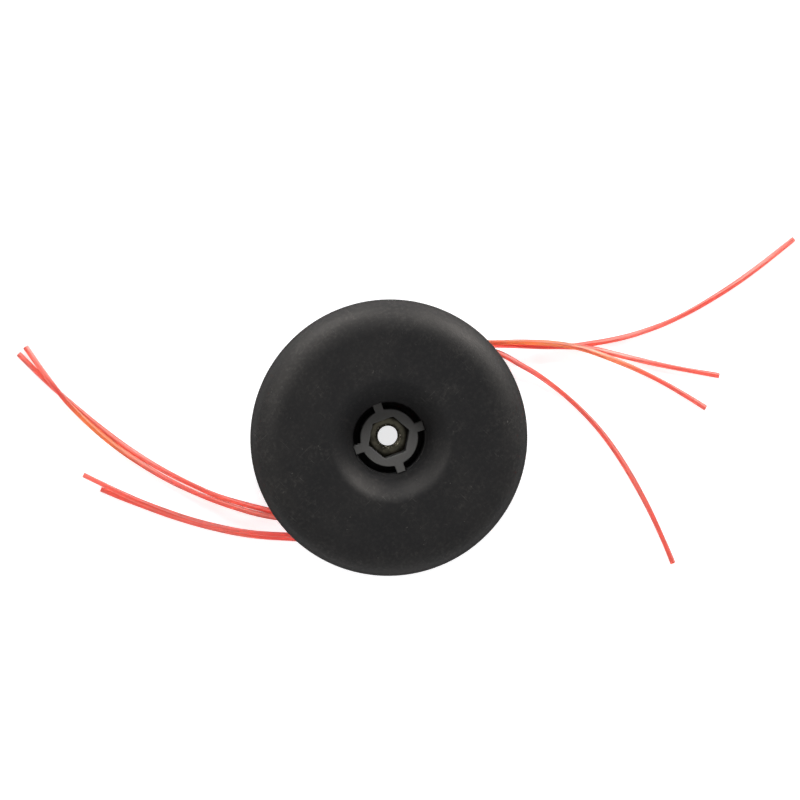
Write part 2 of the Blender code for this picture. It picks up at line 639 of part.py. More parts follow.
def straight_points(start, end):
    """Points between two ends that are already there, about a step apart."""
    count = max(1, round((end - start).length / LINE_STEP))
    return [start.lerp(end, step / count) for step in range(1, count)]


def make_line(number, post_angle, inner_route, outer_route, level, parts):
    """One cutting line: a tail, the bight round its post and the other tail."""
    post = polar(POST_CIRCLE, post_angle)
    inner = smooth_route(inner_route)
    outer = smooth_route(outer_route)
    bight = wrap_points(post, inner[0], outer[0], level)
    points = (list(reversed(inner)) + straight_points(inner[0], bight[0]) + bight
              + straight_points(bight[-1], outer[0]) + outer)
    data = bpy.data.curves.new(f"line_{number}", "CURVE")
    data.dimensions = "3D"
    data.bevel_depth = LINE_DIAMETER / 2
    data.bevel_resolution = 2
    data.use_fill_caps = True
    spline = data.splines.new("POLY")
    spline.points.add(len(points) - 1)
    for knot, point in zip(spline.points, points):
        knot.co = (*point, 1.0)
    place(bpy.data.objects.new(f"line_{number}", data), parts, CORAL_LINE)


def main():
    clear_scene()
    parts = make_collection("trimmer_head")
    cutters = make_collection("cutters")
    make_glide_bowl(parts, cutters)
    make_head_body(parts, cutters)
    make_drive_nut(parts, cutters)
    make_shaft_bush(parts)
    for number in (1, 2):
        make_post_sleeve(number, parts)
    for number in range(1, POST_COUNT + 1):
        make_bowl_screw(number, parts, cutters)
    make_port_liner(1, "right", parts, cutters)
    make_port_liner(-1, "left", parts, cutters)
    right_post = POST_ANGLE
    left_post = POST_ANGLE + 180.0
    make_line(1, right_post, TAIL_RIGHT_UP, TAIL_RIGHT_MIDDLE, LOW_WRAP, parts)
    make_line(2, right_post, TAIL_RIGHT_DOWN, TAIL_RIGHT_TOP, HIGH_WRAP, parts)
    make_line(3, left_post, TAIL_LEFT_OVER, TAIL_LEFT_TOP, HIGH_WRAP, parts)
    make_line(4, left_post, TAIL_LEFT_INSIDE, TAIL_LEFT_OUTSIDE, LOW_WRAP, parts)


main()
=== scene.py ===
"""Look of a four-line trimmer head that lies on its gearbox side with its glide bowl up.

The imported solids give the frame, and each piece here is made finer in the same place.
Units are metres, +Z up, with the origin at the centre of the gearbox seat.
"""

import logging
import math
from collections.abc import Sequence
from dataclasses import dataclass
from enum import Enum

import bmesh
import bpy
from mathutils import Matrix, Vector


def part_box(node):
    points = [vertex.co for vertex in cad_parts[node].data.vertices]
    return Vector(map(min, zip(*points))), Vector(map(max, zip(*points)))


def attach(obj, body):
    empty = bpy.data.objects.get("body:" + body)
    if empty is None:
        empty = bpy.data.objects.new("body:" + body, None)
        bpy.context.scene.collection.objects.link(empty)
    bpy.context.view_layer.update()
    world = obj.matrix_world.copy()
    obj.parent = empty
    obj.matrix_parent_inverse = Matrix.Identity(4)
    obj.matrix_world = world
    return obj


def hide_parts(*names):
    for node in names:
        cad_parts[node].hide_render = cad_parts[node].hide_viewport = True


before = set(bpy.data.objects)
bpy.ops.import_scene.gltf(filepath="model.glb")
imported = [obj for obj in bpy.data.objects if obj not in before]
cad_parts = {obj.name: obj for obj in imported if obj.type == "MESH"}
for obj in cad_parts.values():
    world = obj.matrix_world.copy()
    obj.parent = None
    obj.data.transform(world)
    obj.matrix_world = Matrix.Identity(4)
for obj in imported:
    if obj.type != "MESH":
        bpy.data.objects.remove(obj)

Point = tuple[float, float]
Pair = tuple[float, float]
Corner = tuple[float, float, float]
Triple = tuple[float, float, float]
Colour = tuple[float, float, float]
Ring = list[Vector]
Socket = bpy.types.NodeSocket

MM = 0.001
GAP = 0.3 * MM
WELD = 0.5 * MM
OVERSHOOT = 1.0 * MM
ORIGIN = Vector((0.0, 0.0, 0.0))
SAME_PLACE = 1e-9
CORNER_SHARE = 0.48
MIX_FIRST = 6
MIX_SECOND = 7
MIX_RESULT = 2
POST_ANGLE = 44.0
POST_CIRCLE = 45.3 * MM
LUG_ANGLE = -26.0
LUG_WIDTH = 4.45 * MM
LUG_REACH = 17.75 * MM
HEXAGON_ANGLE = -26.4
PORT_LENGTH = 36.4 * MM
PORT_HEIGHT = 8.6 * MM
PORT_MIDDLE = 9.4 * MM
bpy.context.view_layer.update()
LOG = logging.getLogger("trimmer_head")


class Body(Enum):
    """Bodies that a piece can ride on."""

    HEAD = "root"


class Slot(Enum):
    """Material slots of the record."""

    BLACK_NYLON = "black_nylon"
    GREY_NYLON = "grey_nylon"
    DARK_STEEL = "dark_steel"
    BRIGHT_STEEL = "bright_steel"
    ALUMINIUM = "aluminium"
    CORAL_LINE = "coral_line"


class Light(Enum):
    """What a lamp is hung for."""

    BODY = "body"
    SHINE = "shine"


class Side(Enum):
    """The two ports, by the side of the axis that they are on."""

    RIGHT = 1
    LEFT = -1


def polar(radius: float, degrees: float, height: float = 0.0) -> Vector:
    """Point at a radius and an angle round the shaft's axis.

    Args:
        radius: Distance from the axis.
        degrees: Angle from +X.
        height: Height over the ground.

    Returns:
        The point.
    """
    angle = math.radians(degrees)
    return Vector((radius * math.cos(angle), radius * math.sin(angle), height))


def arc(centre: Point, radius: float, start: float, end: float, steps: int) -> list[Point]:
    """Points along an arc, both ends included.

    Args:
        centre: Middle of the arc.
        radius: Its radius.
        start: First angle in degrees.
        end: Last angle in degrees.
        steps: Number of chords.

    Returns:
        The points, in order.
    """
    points = []
    for step in range(steps + 1):
        angle = math.radians(start + (end - start) * step / steps)
        points.append((centre[0] + radius * math.cos(angle), centre[1] + radius * math.sin(angle)))
    return points


def bezier(start: Point, first: Point, second: Point, end: Point, steps: int) -> list[Point]:
    """Points along a cubic curve, both ends included.

    Args:
        start: First point.
        first: Handle of the first point.
        second: Handle of the last point.
        end: Last point.
        steps: Number of chords.

    Returns:
        The points, in order.
    """
    points = []
    corners = (start, first, second, end)
    for step in range(steps + 1):
        t = step / steps
        weights = ((1 - t) ** 3, 3 * t * (1 - t) ** 2, 3 * t * t * (1 - t), t ** 3)
        points.append(tuple(sum(w * c[axis] for w, c in zip(weights, corners)) for axis in (0, 1)))
    return points


def rounded(corners: Sequence[Corner], steps: int = 4) -> list[Point]:
    """Outline through corners, each rounded by its own radius.

    Args:
        corners: Place and radius of each corner of a closed outline.
        steps: Chords in each rounded corner.

    Returns:
        The outline's points.
    """
    outline: list[Point] = []
    count = len(corners)
    for index, (x, y, radius) in enumerate(corners):
        here = Vector((x, y))
        before = Vector(corners[index - 1][:2]) - here
        after = Vector(corners[(index + 1) % count][:2]) - here
        if radius <= 0.0 or before.length < SAME_PLACE or after.length < SAME_PLACE:
            outline.append((x, y))
            continue
        half = before.angle(after) / 2
        reach = min(radius / math.tan(half), before.length * CORNER_SHARE, after.length * CORNER_SHARE)
        entry = here + before.normalized() * reach
        leave = here + after.normalized() * reach
        for step in range(steps + 1):
            t = step / steps
            spot = entry * (1 - t) ** 2 + here * 2 * t * (1 - t) + leave * t * t
            outline.append((spot.x, spot.y))
    return outline


def racetrack(length: float, height: float, steps: int) -> list[Point]:
    """Outline of a slot with round ends, about its middle.

    Args:
        length: Whole length.
        height: Whole height.
        steps: Chords in each round end.

    Returns:
        The outline's points.
    """
    radius = height / 2
    reach = length / 2 - radius
    return (arc((reach, 0.0), radius, -90.0, 90.0, steps)
            + arc((-reach, 0.0), radius, 90.0, 270.0, steps))


def skin(name: str, rings: Sequence[Ring], around: bool = False, capped: bool = False) -> bpy.types.Mesh:
    """Mesh over a row of closed rings that have the same number of points.

    Args:
        name: Name of the mesh.
        rings: The rings, in order.
        around: Whether the last ring joins the first.
        capped: Whether the first and last rings are closed with a face.

    Returns:
        The mesh, with its faces pointing out.
    """
    builder = bmesh.new()
    rows = [[builder.verts.new(point) for point in ring] for ring in rings]
    pairs = list(zip(rows, rows[1:]))
    if around:
        pairs.append((rows[-1], rows[0]))
    for row, following in pairs:
        size = len(row)
        for place in range(size):
            after = (place + 1) % size
            builder.faces.new((row[place], row[after], following[after], following[place]))
    if capped:
        builder.faces.new(list(reversed(rows[0])))
        builder.faces.new(rows[-1])
    bmesh.ops.recalc_face_normals(builder, faces=builder.faces)
    mesh = bpy.data.meshes.new(name)
    builder.to_mesh(mesh)
    builder.free()
    return mesh


def level_ring(radius: float, height: float, steps: int, centre: Vector = ORIGIN) -> Ring:
    """Round ring that lies level about an upright axis."""
    return [centre + polar(radius, 360.0 * step / steps, height) for step in range(steps)]


def turned(name: str, profile: Sequence[Point], steps: int, centre: Vector = ORIGIN) -> bpy.types.Mesh:
    """Mesh of a closed section turned round an upright axis."""
    rings = [level_ring(radius, height, steps, centre) for radius, height in profile]
    return skin(name, rings, around=True)


def rod(name: str, sides: int, radius: float, low: float, high: float,
        centre: Vector = ORIGIN) -> bpy.types.Mesh:
    """Mesh of an upright prism whose corners lie on a radius."""
    return skin(name, [level_ring(radius, height, sides, centre) for height in (low, high)], capped=True)


def block(name: str, low: Sequence[float], high: Sequence[float], degrees: float = 0.0) -> bpy.types.Mesh:
    """Mesh of a box between two corners, turned round the shaft's axis.

    Args:
        name: Name of the mesh.
        low: Lowest corner before the turn.
        high: Highest corner before the turn.
        degrees: The turn.

    Returns:
        The mesh.
    """
    turn = Matrix.Rotation(math.radians(degrees), 3, "Z")
    rings = []
    for height in (low[2], high[2]):
        outline = ((low[0], low[1]), (high[0], low[1]), (high[0], high[1]), (low[0], high[1]))
        rings.append([turn @ Vector((x, y, height)) for x, y in outline])
    return skin(name, rings, capped=True)


def slot_ring(side: Side, depth: float, length: float, height: float, level: float, steps: int) -> Ring:
    """Ring of a slot that stands across a port.

    Args:
        side: Which port.
        depth: Distance of the ring from the shaft's axis.
        length: Whole length of the slot.
        height: Whole height of the slot.
        level: Height of its middle over the ground.
        steps: Chords in each round end.

    Returns:
        The ring.
    """
    outline = racetrack(length, height, steps)
    return [Vector((side.value * depth, side.value * y, level + z)) for y, z in outline]


def merged(name: str, meshes: Sequence[bpy.types.Mesh]) -> bpy.types.Mesh:
    """One mesh that holds several, which are then removed.

    Args:
        name: Name of the new mesh.
        meshes: The meshes to put together.

    Returns:
        The new mesh.
    """
    builder = bmesh.new()
    for mesh in meshes:
        builder.from_mesh(mesh)
    whole = bpy.data.meshes.new(name)
    builder.to_mesh(whole)
    builder.free()
    for mesh in meshes:
        bpy.data.meshes.remove(mesh)
    return whole


def placed(name: str, data: bpy.types.ID) -> bpy.types.Object:
    """Object that is put into the scene.

    Args:
        name: Name of the object.
        data: What it holds.

    Returns:
        The object.
    """
    thing = bpy.data.objects.new(name, data)
    bpy.context.scene.collection.objects.link(thing)
    return thing


def evaluated_mesh(thing: bpy.types.Object) -> bpy.types.Mesh:
    """Mesh of an object with its modifiers or its curve worked out.

    Args:
        thing: The object.

    Returns:
        A new mesh.
    """
    bpy.context.view_layer.update()
    evaluated = thing.evaluated_get(bpy.context.evaluated_depsgraph_get())
    return bpy.data.meshes.new_from_object(evaluated)


class Operation(Enum):
    """What a tool mesh does to a blank."""

    JOIN = "UNION"
    CUT = "DIFFERENCE"


@dataclass(frozen=True)
class Edge:
    """Rounding of a machined or moulded edge."""

    width: float
    segments: int = 2
    degrees: float = 40.0


def worked(name: str, blank: bpy.types.Mesh, tools: Sequence[tuple[Operation, list[bpy.types.Mesh]]],
           edge: Edge | None = None) -> bpy.types.Mesh:
    """Work a blank with tools, one after another, and round its edges.

    Args:
        name: Name of the result.
        blank: Mesh to start from.
        tools: Each operation, with meshes that don't meet one another.
        edge: Rounding of the edges, or none.

    Returns:
        The finished mesh.
    """
    thing = placed(name, blank)
    helpers = []
    for number, (operation, meshes) in enumerate(tools):
        label = f"{name}_tool_{number}"
        helper = placed(label, merged(label, meshes))
        helpers.append(helper)
        step = thing.modifiers.new(helper.name, "BOOLEAN")
        step.operation = operation.value
        step.object = helper
        step.solver = "EXACT"
    if edge is not None:
        rounding = thing.modifiers.new("edges", "BEVEL")
        rounding.width = edge.width
        rounding.segments = edge.segments
        rounding.limit_method = "ANGLE"
        rounding.angle_limit = math.radians(edge.degrees)
        rounding.use_clamp_overlap = False
    result = evaluated_mesh(thing)
    result.name = name
    for helper in (thing, *helpers):
        data = helper.data
        bpy.data.objects.remove(helper)
        bpy.data.meshes.remove(data)
    return result


def plate_mesh(name: str, outlines: Sequence[Sequence[Point]], low: float, high: float,
               edge: float = 0.0) -> bpy.types.Mesh:
    """Mesh of a flat plate with holes and rounded edges.

    Args:
        name: Name of the mesh.
        outlines: The outer outline and then the holes'.
        low: Height of the lower face.
        high: Height of the upper face.
        edge: Radius of the edges.

    Returns:
        The mesh.
    """
    data = bpy.data.curves.new(name, "CURVE")
    data.dimensions = "2D"
    data.fill_mode = "BOTH"
    data.extrude = (high - low) / 2 - edge
    data.bevel_depth = edge
    data.bevel_resolution = 2
    data.offset = -edge
    for outline in outlines:
        spline = data.splines.new("POLY")
        spline.points.add(len(outline) - 1)
        spline.use_cyclic_u = True
        for knot, (x, y) in zip(spline.points, outline):
            knot.co = (x, y, 0.0, 1.0)
    thing = placed(name, data)
    mesh = evaluated_mesh(thing)
    mesh.transform(Matrix.Translation((0.0, 0.0, (low + high) / 2)))
    mesh.materials.clear()
    bpy.data.objects.remove(thing)
    bpy.data.curves.remove(data)
    return mesh


@dataclass(frozen=True)
class Noise:
    """Noise over a surface, and the two levels that its patches are drawn between."""

    scale: float
    detail: float = 3.0
    roughness: float = 0.6
    low: float = 0.0
    high: float = 1.0


class Graph:
    """Short way to write a node tree."""

    def __init__(self, tree: bpy.types.NodeTree) -> None:
        """Keep the tree that nodes are added to."""
        self.tree = tree

    def add(self, kind: str, inputs: dict | None = None, **settings: object) -> bpy.types.Node:
        """Add a node.

        Args:
            kind: Node type without its ShaderNode prefix.
            inputs: Value or source socket of each input, by name or number.
            settings: Properties of the node itself.

        Returns:
            The node.
        """
        node = self.tree.nodes.new(f"ShaderNode{kind}")
        for name, value in settings.items():
            setattr(node, name, value)
        for key, value in (inputs or {}).items():
            if isinstance(value, Socket):
                self.tree.links.new(value, node.inputs[key])
            else:
                node.inputs[key].default_value = value
        return node

    def noise(self, place: Socket, noise: Noise) -> Socket:
        """Value of a noise over a place."""
        return self.add("TexNoise", {"Vector": place, "Scale": noise.scale, "Detail": noise.detail,
                                     "Roughness": noise.roughness}).outputs["Fac"]

    def patches(self, place: Socket, noise: Noise) -> Socket:
        """Patches of a noise, from none at its low level to full at its high one."""
        return self.spread(self.noise(place, noise), noise.low, noise.high)

    def spread(self, value: Socket, low: float, high: float, start: float = 0.0,
               end: float = 1.0) -> Socket:
        """Map a value from one span to another, smoothly and without leaving it."""
        return self.add("MapRange", {"Value": value, "From Min": low, "From Max": high,
                                     "To Min": start, "To Max": end},
                        interpolation_type="SMOOTHSTEP").outputs["Result"]

    def joined(self, operation: str, values: Sequence[Socket | float]) -> Socket:
        """Values put together by one operation, from the first to the last.

        Args:
            operation: Operation of the Math node.
            values: Sockets or numbers, the first of them a socket.

        Returns:
            The result.
        """
        result = values[0]
        for value in values[1:]:
            result = self.add("Math", {0: result, 1: value}, operation=operation).outputs[0]
        return result

    def times(self, *values: Socket | float) -> Socket:
        """Product of values."""
        return self.joined("MULTIPLY", values)

    def plus(self, *values: Socket | float) -> Socket:
        """Sum of values."""
        return self.joined("ADD", values)

    def weighed(self, values: Sequence[Socket], shares: Sequence[float]) -> Socket:
        """Sum of values, each times its share."""
        return self.plus(*[self.times(value, share) for value, share in zip(values, shares)])

    def mix(self, amount: Socket, first: object, second: object) -> Socket:
        """Colour between two.

        Args:
            amount: Share of the second colour.
            first: Colour or colour socket.
            second: Colour or colour socket.

        Returns:
            The colour's socket.
        """
        node = self.add("Mix", {"Factor": amount}, data_type="RGBA")
        for socket, value in ((node.inputs[MIX_FIRST], first), (node.inputs[MIX_SECOND], second)):
            if isinstance(value, Socket):
                self.tree.links.new(value, socket)
            else:
                socket.default_value = (*value, 1.0)
        return node.outputs[MIX_RESULT]

    def stretch(self, place: Socket, scale: Triple, turn: Triple = (0.0, 0.0, 0.0)) -> Socket:
        """Place scaled along each axis after a turn in degrees."""
        angles = [math.radians(value) for value in turn]
        return self.add("Mapping", {"Vector": place, "Scale": scale, "Rotation": angles}).outputs[0]

    def from_axis(self, place: Socket) -> Socket:
        """Distance of a place from the shaft's axis.

        Args:
            place: The place.

        Returns:
            The distance.
        """
        parts = self.add("SeparateXYZ", {0: place})
        flat = self.add("CombineXYZ", {0: parts.outputs[0], 1: parts.outputs[1]}).outputs[0]
        return self.add("VectorMath", {0: flat}, operation="LENGTH").outputs["Value"]

    def seen_rays(self) -> Socket:
        """One where a ray comes from the camera, a reflection or a clear piece, and zero elsewhere.

        Returns:
            The share.
        """
        path = self.add("LightPath")
        seen = self.plus(path.outputs["Is Camera Ray"], path.outputs["Is Glossy Ray"],
                         path.outputs["Is Transmission Ray"])
        return self.joined("MINIMUM", (seen, 1.0))

    def surface(self, shader: bpy.types.Node, colour: Socket, roughness: Socket, relief: Socket,
                strength: float, depth: float) -> None:
        """Give a shader its colour, roughness and fine relief.

        Args:
            shader: The shader.
            colour: Its colour.
            roughness: Its roughness.
            relief: Height of the relief.
            strength: How strongly the relief shows.
            depth: Depth of the relief in metres.
        """
        bump = self.add("Bump", {"Height": relief, "Strength": strength, "Distance": depth})
        for socket, value in (("Base Color", colour), ("Roughness", roughness),
                              ("Normal", bump.outputs[0])):
            self.tree.links.new(value, shader.inputs[socket])


def emptied(tree: bpy.types.NodeTree) -> Graph:
    """Graph of a node tree with the nodes that it came with taken out."""
    tree.nodes.clear()
    return Graph(tree)


def new_material(name: str) -> tuple[bpy.types.Material, Graph, bpy.types.Node]:
    """Make an empty material.

    Args:
        name: Name of the material.

    Returns:
        The material, its graph and its shader.
    """
    material = bpy.data.materials.new(name)
    material.use_nodes = True
    graph = Graph(material.node_tree)
    return material, graph, material.node_tree.nodes["Principled BSDF"]


@dataclass(frozen=True)
class MouldedNylon:
    """Matt moulded nylon with a grained skin, scuffs and dust."""

    name: str
    colour: Colour
    bloom: Colour
    dust: Colour = (0.4, 0.38, 0.35)
    roughness: float = 0.5
    gloss: float = 0.3
    # Radii of a paler band round the shoulder, partly wear and partly a painted highlight.
    wear_highlight_from: float = 0.05
    wear_highlight_to: float = 0.06
    wear_highlight: float = 0.0
    specks: float = 0.0
    edge_dulling: float = 0.4
    cloud: Noise = Noise(34.0, 4.0, 0.6, 0.35, 0.7)
    grain: Noise = Noise(1900.0, 2.0, 0.5)
    patch: Noise = Noise(95.0, 5.0, 0.65, 0.42, 0.72)
    mottle: Noise = Noise(620.0, 3.0, 0.6, 0.42, 0.74)
    smudge: Noise = Noise(75.0, 4.0, 0.7, 0.5, 0.66)
    scratch: Noise = Noise(1.0, 3.0, 0.6, 0.64, 0.74)
    scuff: Noise = Noise(70.0, 3.0, 0.6, 0.5, 0.64)
    dot: Noise = Noise(900.0, 1.0, 0.5, 0.7, 0.78)
    chosen: Noise = Noise(150.0, 3.0, 0.6, 0.53, 0.66)
    ripple: Noise = Noise(480.0, 3.0, 0.6)
    scratch_scales: tuple[Triple, ...] = ((60.0, 2600.0, 60.0), (2300.0, 90.0, 90.0))
    scratch_turns: tuple[float, ...] = (28.0, 63.0)
    wear_shares: Pair = (0.5, 0.4)
    wear_base: float = 0.25
    haze_shares: Triple = (0.12, 0.14, 0.22)
    dust_shares: Pair = (0.13, 0.09)
    rough_shares: Triple = (0.05, 0.07, 0.2)
    rough_drop: float = 0.12
    scratch_rough: float = 0.12
    edge_blend: float = 0.5
    edge_from: float = 0.45
    edge_to: float = 0.8
    relief_shares: Triple = (1.0, 2.0, -0.8)
    relief_strength: float = 0.6
    relief_depth: float = 0.08 * MM

    def scratches(self, graph: Graph, place: Socket) -> Socket:
        """Fine scratches in two directions, where the skin is scuffed.

        Args:
            graph: Graph of the material.
            place: Place on the surface.

        Returns:
            Strength of the scratches.
        """
        runs = [graph.stretch(place, scale, (0.0, 0.0, turn))
                for scale, turn in zip(self.scratch_scales, self.scratch_turns)]
        crossed = graph.plus(*[graph.patches(run, self.scratch) for run in runs])
        return graph.times(crossed, graph.patches(place, self.scuff), self.specks)

    def tone(self, graph: Graph, place: Socket, cloud: Socket, patch: Socket, scratch: Socket) -> Socket:
        """Colour of the skin, with its bloom, its dust, and a paler band round the shoulder that is partly
        wear and partly a painted highlight.

        Args:
            graph: Graph of the material.
            place: Place on the surface.
            cloud: Broad noise of the bloom.
            patch: Patches of wear.
            scratch: Strength of the scratches.

        Returns:
            The colour.
        """
        mottle = graph.patches(place, self.mottle)
        # Painted highlight, partly wear: the band round the shoulder is made paler.
        wear_and_highlight = graph.spread(graph.from_axis(place), self.wear_highlight_from, self.wear_highlight_to)
        rubbed = graph.plus(graph.weighed((patch, mottle), self.wear_shares), self.wear_base)
        smudge = graph.times(graph.patches(place, self.smudge), mottle)
        bloomed = graph.spread(cloud, self.cloud.low, self.cloud.high)
        haze = graph.weighed((bloomed, mottle, smudge), self.haze_shares)
        tone = graph.mix(haze, self.colour, self.bloom)
        tone = graph.mix(graph.times(wear_and_highlight, rubbed, self.wear_highlight), tone, self.bloom)
        speck = graph.times(graph.patches(place, self.dot), graph.patches(place, self.chosen), self.specks)
        return graph.mix(graph.weighed((speck, scratch), self.dust_shares), tone, self.dust)

    def material(self) -> bpy.types.Material:
        """Make the nylon's material.

        Returns:
            The material.
        """
        material, graph, shader = new_material(self.name)
        place = graph.add("TexCoord").outputs["Object"]
        cloud = graph.noise(place, self.cloud)
        grain = graph.noise(place, self.grain)
        patch = graph.patches(place, self.patch)
        scratch = self.scratches(graph, place)
        skin_rough = graph.plus(graph.weighed((cloud, patch, grain), self.rough_shares),
                                self.roughness - self.rough_drop)
        facing = graph.add("LayerWeight", {"Blend": self.edge_blend}).outputs["Facing"]
        edge_on = graph.times(graph.spread(facing, self.edge_from, self.edge_to), self.edge_dulling)
        rough = graph.plus(skin_rough, graph.times(scratch, self.scratch_rough), edge_on)
        relief = graph.weighed((grain, graph.noise(place, self.ripple), scratch), self.relief_shares)
        tone = self.tone(graph, place, cloud, patch, scratch)
        graph.surface(shader, tone, rough, relief, self.relief_strength, self.relief_depth)
        shader.inputs["Specular IOR Level"].default_value = self.gloss
        return material


@dataclass(frozen=True)
class Metal:
    """Turned, plated or oxidised metal with tool marks."""

    name: str
    colour: Colour
    stain: Colour
    roughness: float = 0.32
    metallic: float = 1.0
    # Painted glints: pale patches in the colour round the bore, where the thread's crests would catch the
    # light.
    glint_share: float = 0.0
    glint_reach: float = 6.5 * MM
    glint_fade: float = 0.8 * MM
    glint_colour: Colour = (0.75, 0.68, 0.55)
    blotch: Noise = Noise(260.0, 5.0, 0.65, 0.4, 0.68)
    fine: Noise = Noise(2400.0, 3.0, 0.6)
    brushed: Noise = Noise(1.0, 2.0, 0.5)
    glint_chip: Noise = Noise(1300.0, 2.0, 0.5, 0.6, 0.7)
    marks: Triple = (40.0, 40.0, 5200.0)
    rough_shares: Pair = (0.16, 0.1)
    rough_drop: float = 0.08
    relief_shares: Pair = (0.5, 0.5)
    relief_strength: float = 0.3
    relief_depth: float = 0.05 * MM

    def material(self) -> bpy.types.Material:
        """Make the metal's material.

        Returns:
            The material.
        """
        material, graph, shader = new_material(self.name)
        place = graph.add("TexCoord").outputs["Object"]
        blotch = graph.patches(place, self.blotch)
        fine = graph.noise(place, self.fine)
        brushed = graph.noise(graph.stretch(place, self.marks), self.brushed)
        tone = graph.mix(blotch, self.colour, self.stain)
        # Painted glints: pale spots near the bore, standing in for the thread's glints.
        if self.glint_share > 0.0:
            reach = graph.from_axis(place)
            near = graph.spread(reach, self.glint_reach, self.glint_reach - self.glint_fade)
            wear_and_highlight = graph.times(near, graph.patches(place, self.glint_chip), self.glint_share)
            tone = graph.mix(wear_and_highlight, tone, self.glint_colour)
        rough = graph.plus(graph.weighed((blotch, fine), self.rough_shares),
                           self.roughness - self.rough_drop)
        relief = graph.weighed((brushed, fine), self.relief_shares)
        graph.surface(shader, tone, rough, relief, self.relief_strength, self.relief_depth)
        shader.inputs["Metallic"].default_value = self.metallic
        return material


@dataclass(frozen=True)
class LineNylon:
    """Translucent extruded nylon with streaks along its length."""

    name: str
    warm_from: float = 0.0
    warm_to: float = 0.0
    colour: Colour = (0.71, 0.122, 0.082)
    # Painted shade: deeper red towards the line's corners, for the longer light path through them.
    corner_shade_red: Colour = (0.68, 0.088, 0.058)
    # Painted highlight: pale colour of the stripes along the line's faces, also used for its pale flecks.
    pale_highlight: Colour = (0.76, 0.46, 0.39)
    warm: Colour = (0.71, 0.198, 0.03)
    # Painted shade: deeper red for the stretch of line near the head, which the head shades.
    near: Colour = (0.88, 0.075, 0.056)
    head_shade_from: float = 90.0 * MM
    head_shade_to: float = 68.0 * MM
    roughness: float = 0.5
    rough_drop: float = 0.1
    rough_share: float = 0.2
    streak: Noise = Noise(1.0, 2.0, 0.5, 0.38, 0.66)
    fleck: Noise = Noise(1.0, 2.0, 0.5, 0.6, 0.74)
    cloud: Noise = Noise(45.0, 2.0, 0.5)
    faces: float = 4.0
    streak_scale: Triple = (7.0, 50.0, 1.0)
    fleck_scale: Triple = (12.0, 1600.0, 1.0)
    middle_rise: Pair = (0.3, 0.55)
    middle_fall: Pair = (1.0, 0.75)
    highlight_rise: Pair = (0.28, 0.34)
    highlight_fall: Pair = (0.45, 0.39)
    tone_shares: Pair = (0.7, 0.3)
    highlight_break_span: Pair = (0.35, 0.6)
    highlight_break_share: float = 0.6
    fleck_span: Pair = (0.3, 0.6)
    fleck_share: float = 0.3
    warm_fades: Pair = (10.0 * MM, 20.0 * MM)
    warm_share: float = 0.85
    head_shade_share: float = 0.75
    pale_highlight_share: float = 0.85
    relief_strength: float = 0.25
    relief_depth: float = 0.1 * MM
    gloss: float = 0.03
    clearness: float = 0.82
    glow_share: float = 0.9
    glow_radius: Triple = (1.0, 0.45, 0.38)
    glow_depth: float = 6.0 * MM

    def placed_tone(self, graph: Graph, tone: Socket, place: Socket, length: Socket) -> Socket:
        """Colour turned orange over a stretch of the length, or else a painted shade: redder near the
        head, which shades the line.

        Args:
            graph: Graph of the material.
            tone: Colour before the change.
            place: Place on the surface.
            length: Distance along the line.

        Returns:
            The colour.
        """
        if self.warm_to > self.warm_from:
            begin, end = self.warm_fades
            window = graph.times(graph.spread(length, self.warm_from - begin, self.warm_from + begin),
                                 graph.spread(length, self.warm_to + end, self.warm_to - end))
            return graph.mix(graph.times(window, self.warm_share), tone, self.warm)
        # Painted shade: redder near the head, where the head shades the line.
        head_shade = graph.spread(graph.from_axis(place), self.head_shade_from, self.head_shade_to)
        return graph.mix(graph.times(head_shade, self.head_shade_share), tone, self.near)

    def material(self) -> bpy.types.Material:
        """Make the line's material.

        Returns:
            The material.
        """
        material, graph, shader = new_material(self.name)
        along = graph.add("UVMap").outputs[0]
        place = graph.add("TexCoord").outputs["Object"]
        streak = graph.noise(graph.stretch(along, self.streak_scale), self.streak)
        fleck = graph.patches(graph.stretch(along, self.fleck_scale), self.fleck)
        cloud = graph.noise(place, self.cloud)
        parts = graph.add("SeparateXYZ", {0: along})
        faces = graph.times(parts.outputs[0], self.faces)
        across = graph.add("Math", {0: faces}, operation="FRACT").outputs[0]
        # Painted shade: each face is deeper red towards the corners, mixed with the streaks.
        middle = graph.times(graph.spread(across, *self.middle_rise),
                             graph.spread(across, *self.middle_fall))
        streaks = graph.spread(streak, self.streak.low, self.streak.high)
        tone = graph.mix(graph.weighed((middle, streaks), self.tone_shares), self.corner_shade_red, self.colour)
        tone = self.placed_tone(graph, tone, place, parts.outputs[1])
        # Painted highlight: a pale stripe on each face of the square line, broken up along its length,
        # where the facets would catch the lamps; pale flecks go into the same colour.
        edge = graph.times(graph.spread(across, *self.highlight_rise),
                           graph.spread(across, *self.highlight_fall))
        highlight_breaks = graph.times(graph.spread(cloud, *self.highlight_break_span), self.highlight_break_share)
        highlight_breaks = graph.plus(highlight_breaks, 1.0 - self.highlight_break_share)
        flecks = graph.times(fleck, graph.spread(cloud, *self.fleck_span), self.fleck_share)
        tone = graph.mix(graph.plus(graph.times(edge, highlight_breaks, self.pale_highlight_share), flecks), tone, self.pale_highlight)
        rough = graph.plus(graph.times(streak, self.rough_share), self.roughness - self.rough_drop)
        graph.surface(shader, tone, rough, streak, self.relief_strength, self.relief_depth)
        for socket, value in (("Specular IOR Level", self.gloss), ("Transmission Weight", self.clearness),
                              ("Subsurface Weight", self.glow_share),
                              ("Subsurface Radius", self.glow_radius),
                              ("Subsurface Scale", self.glow_depth)):
            shader.inputs[socket].default_value = value
        return material


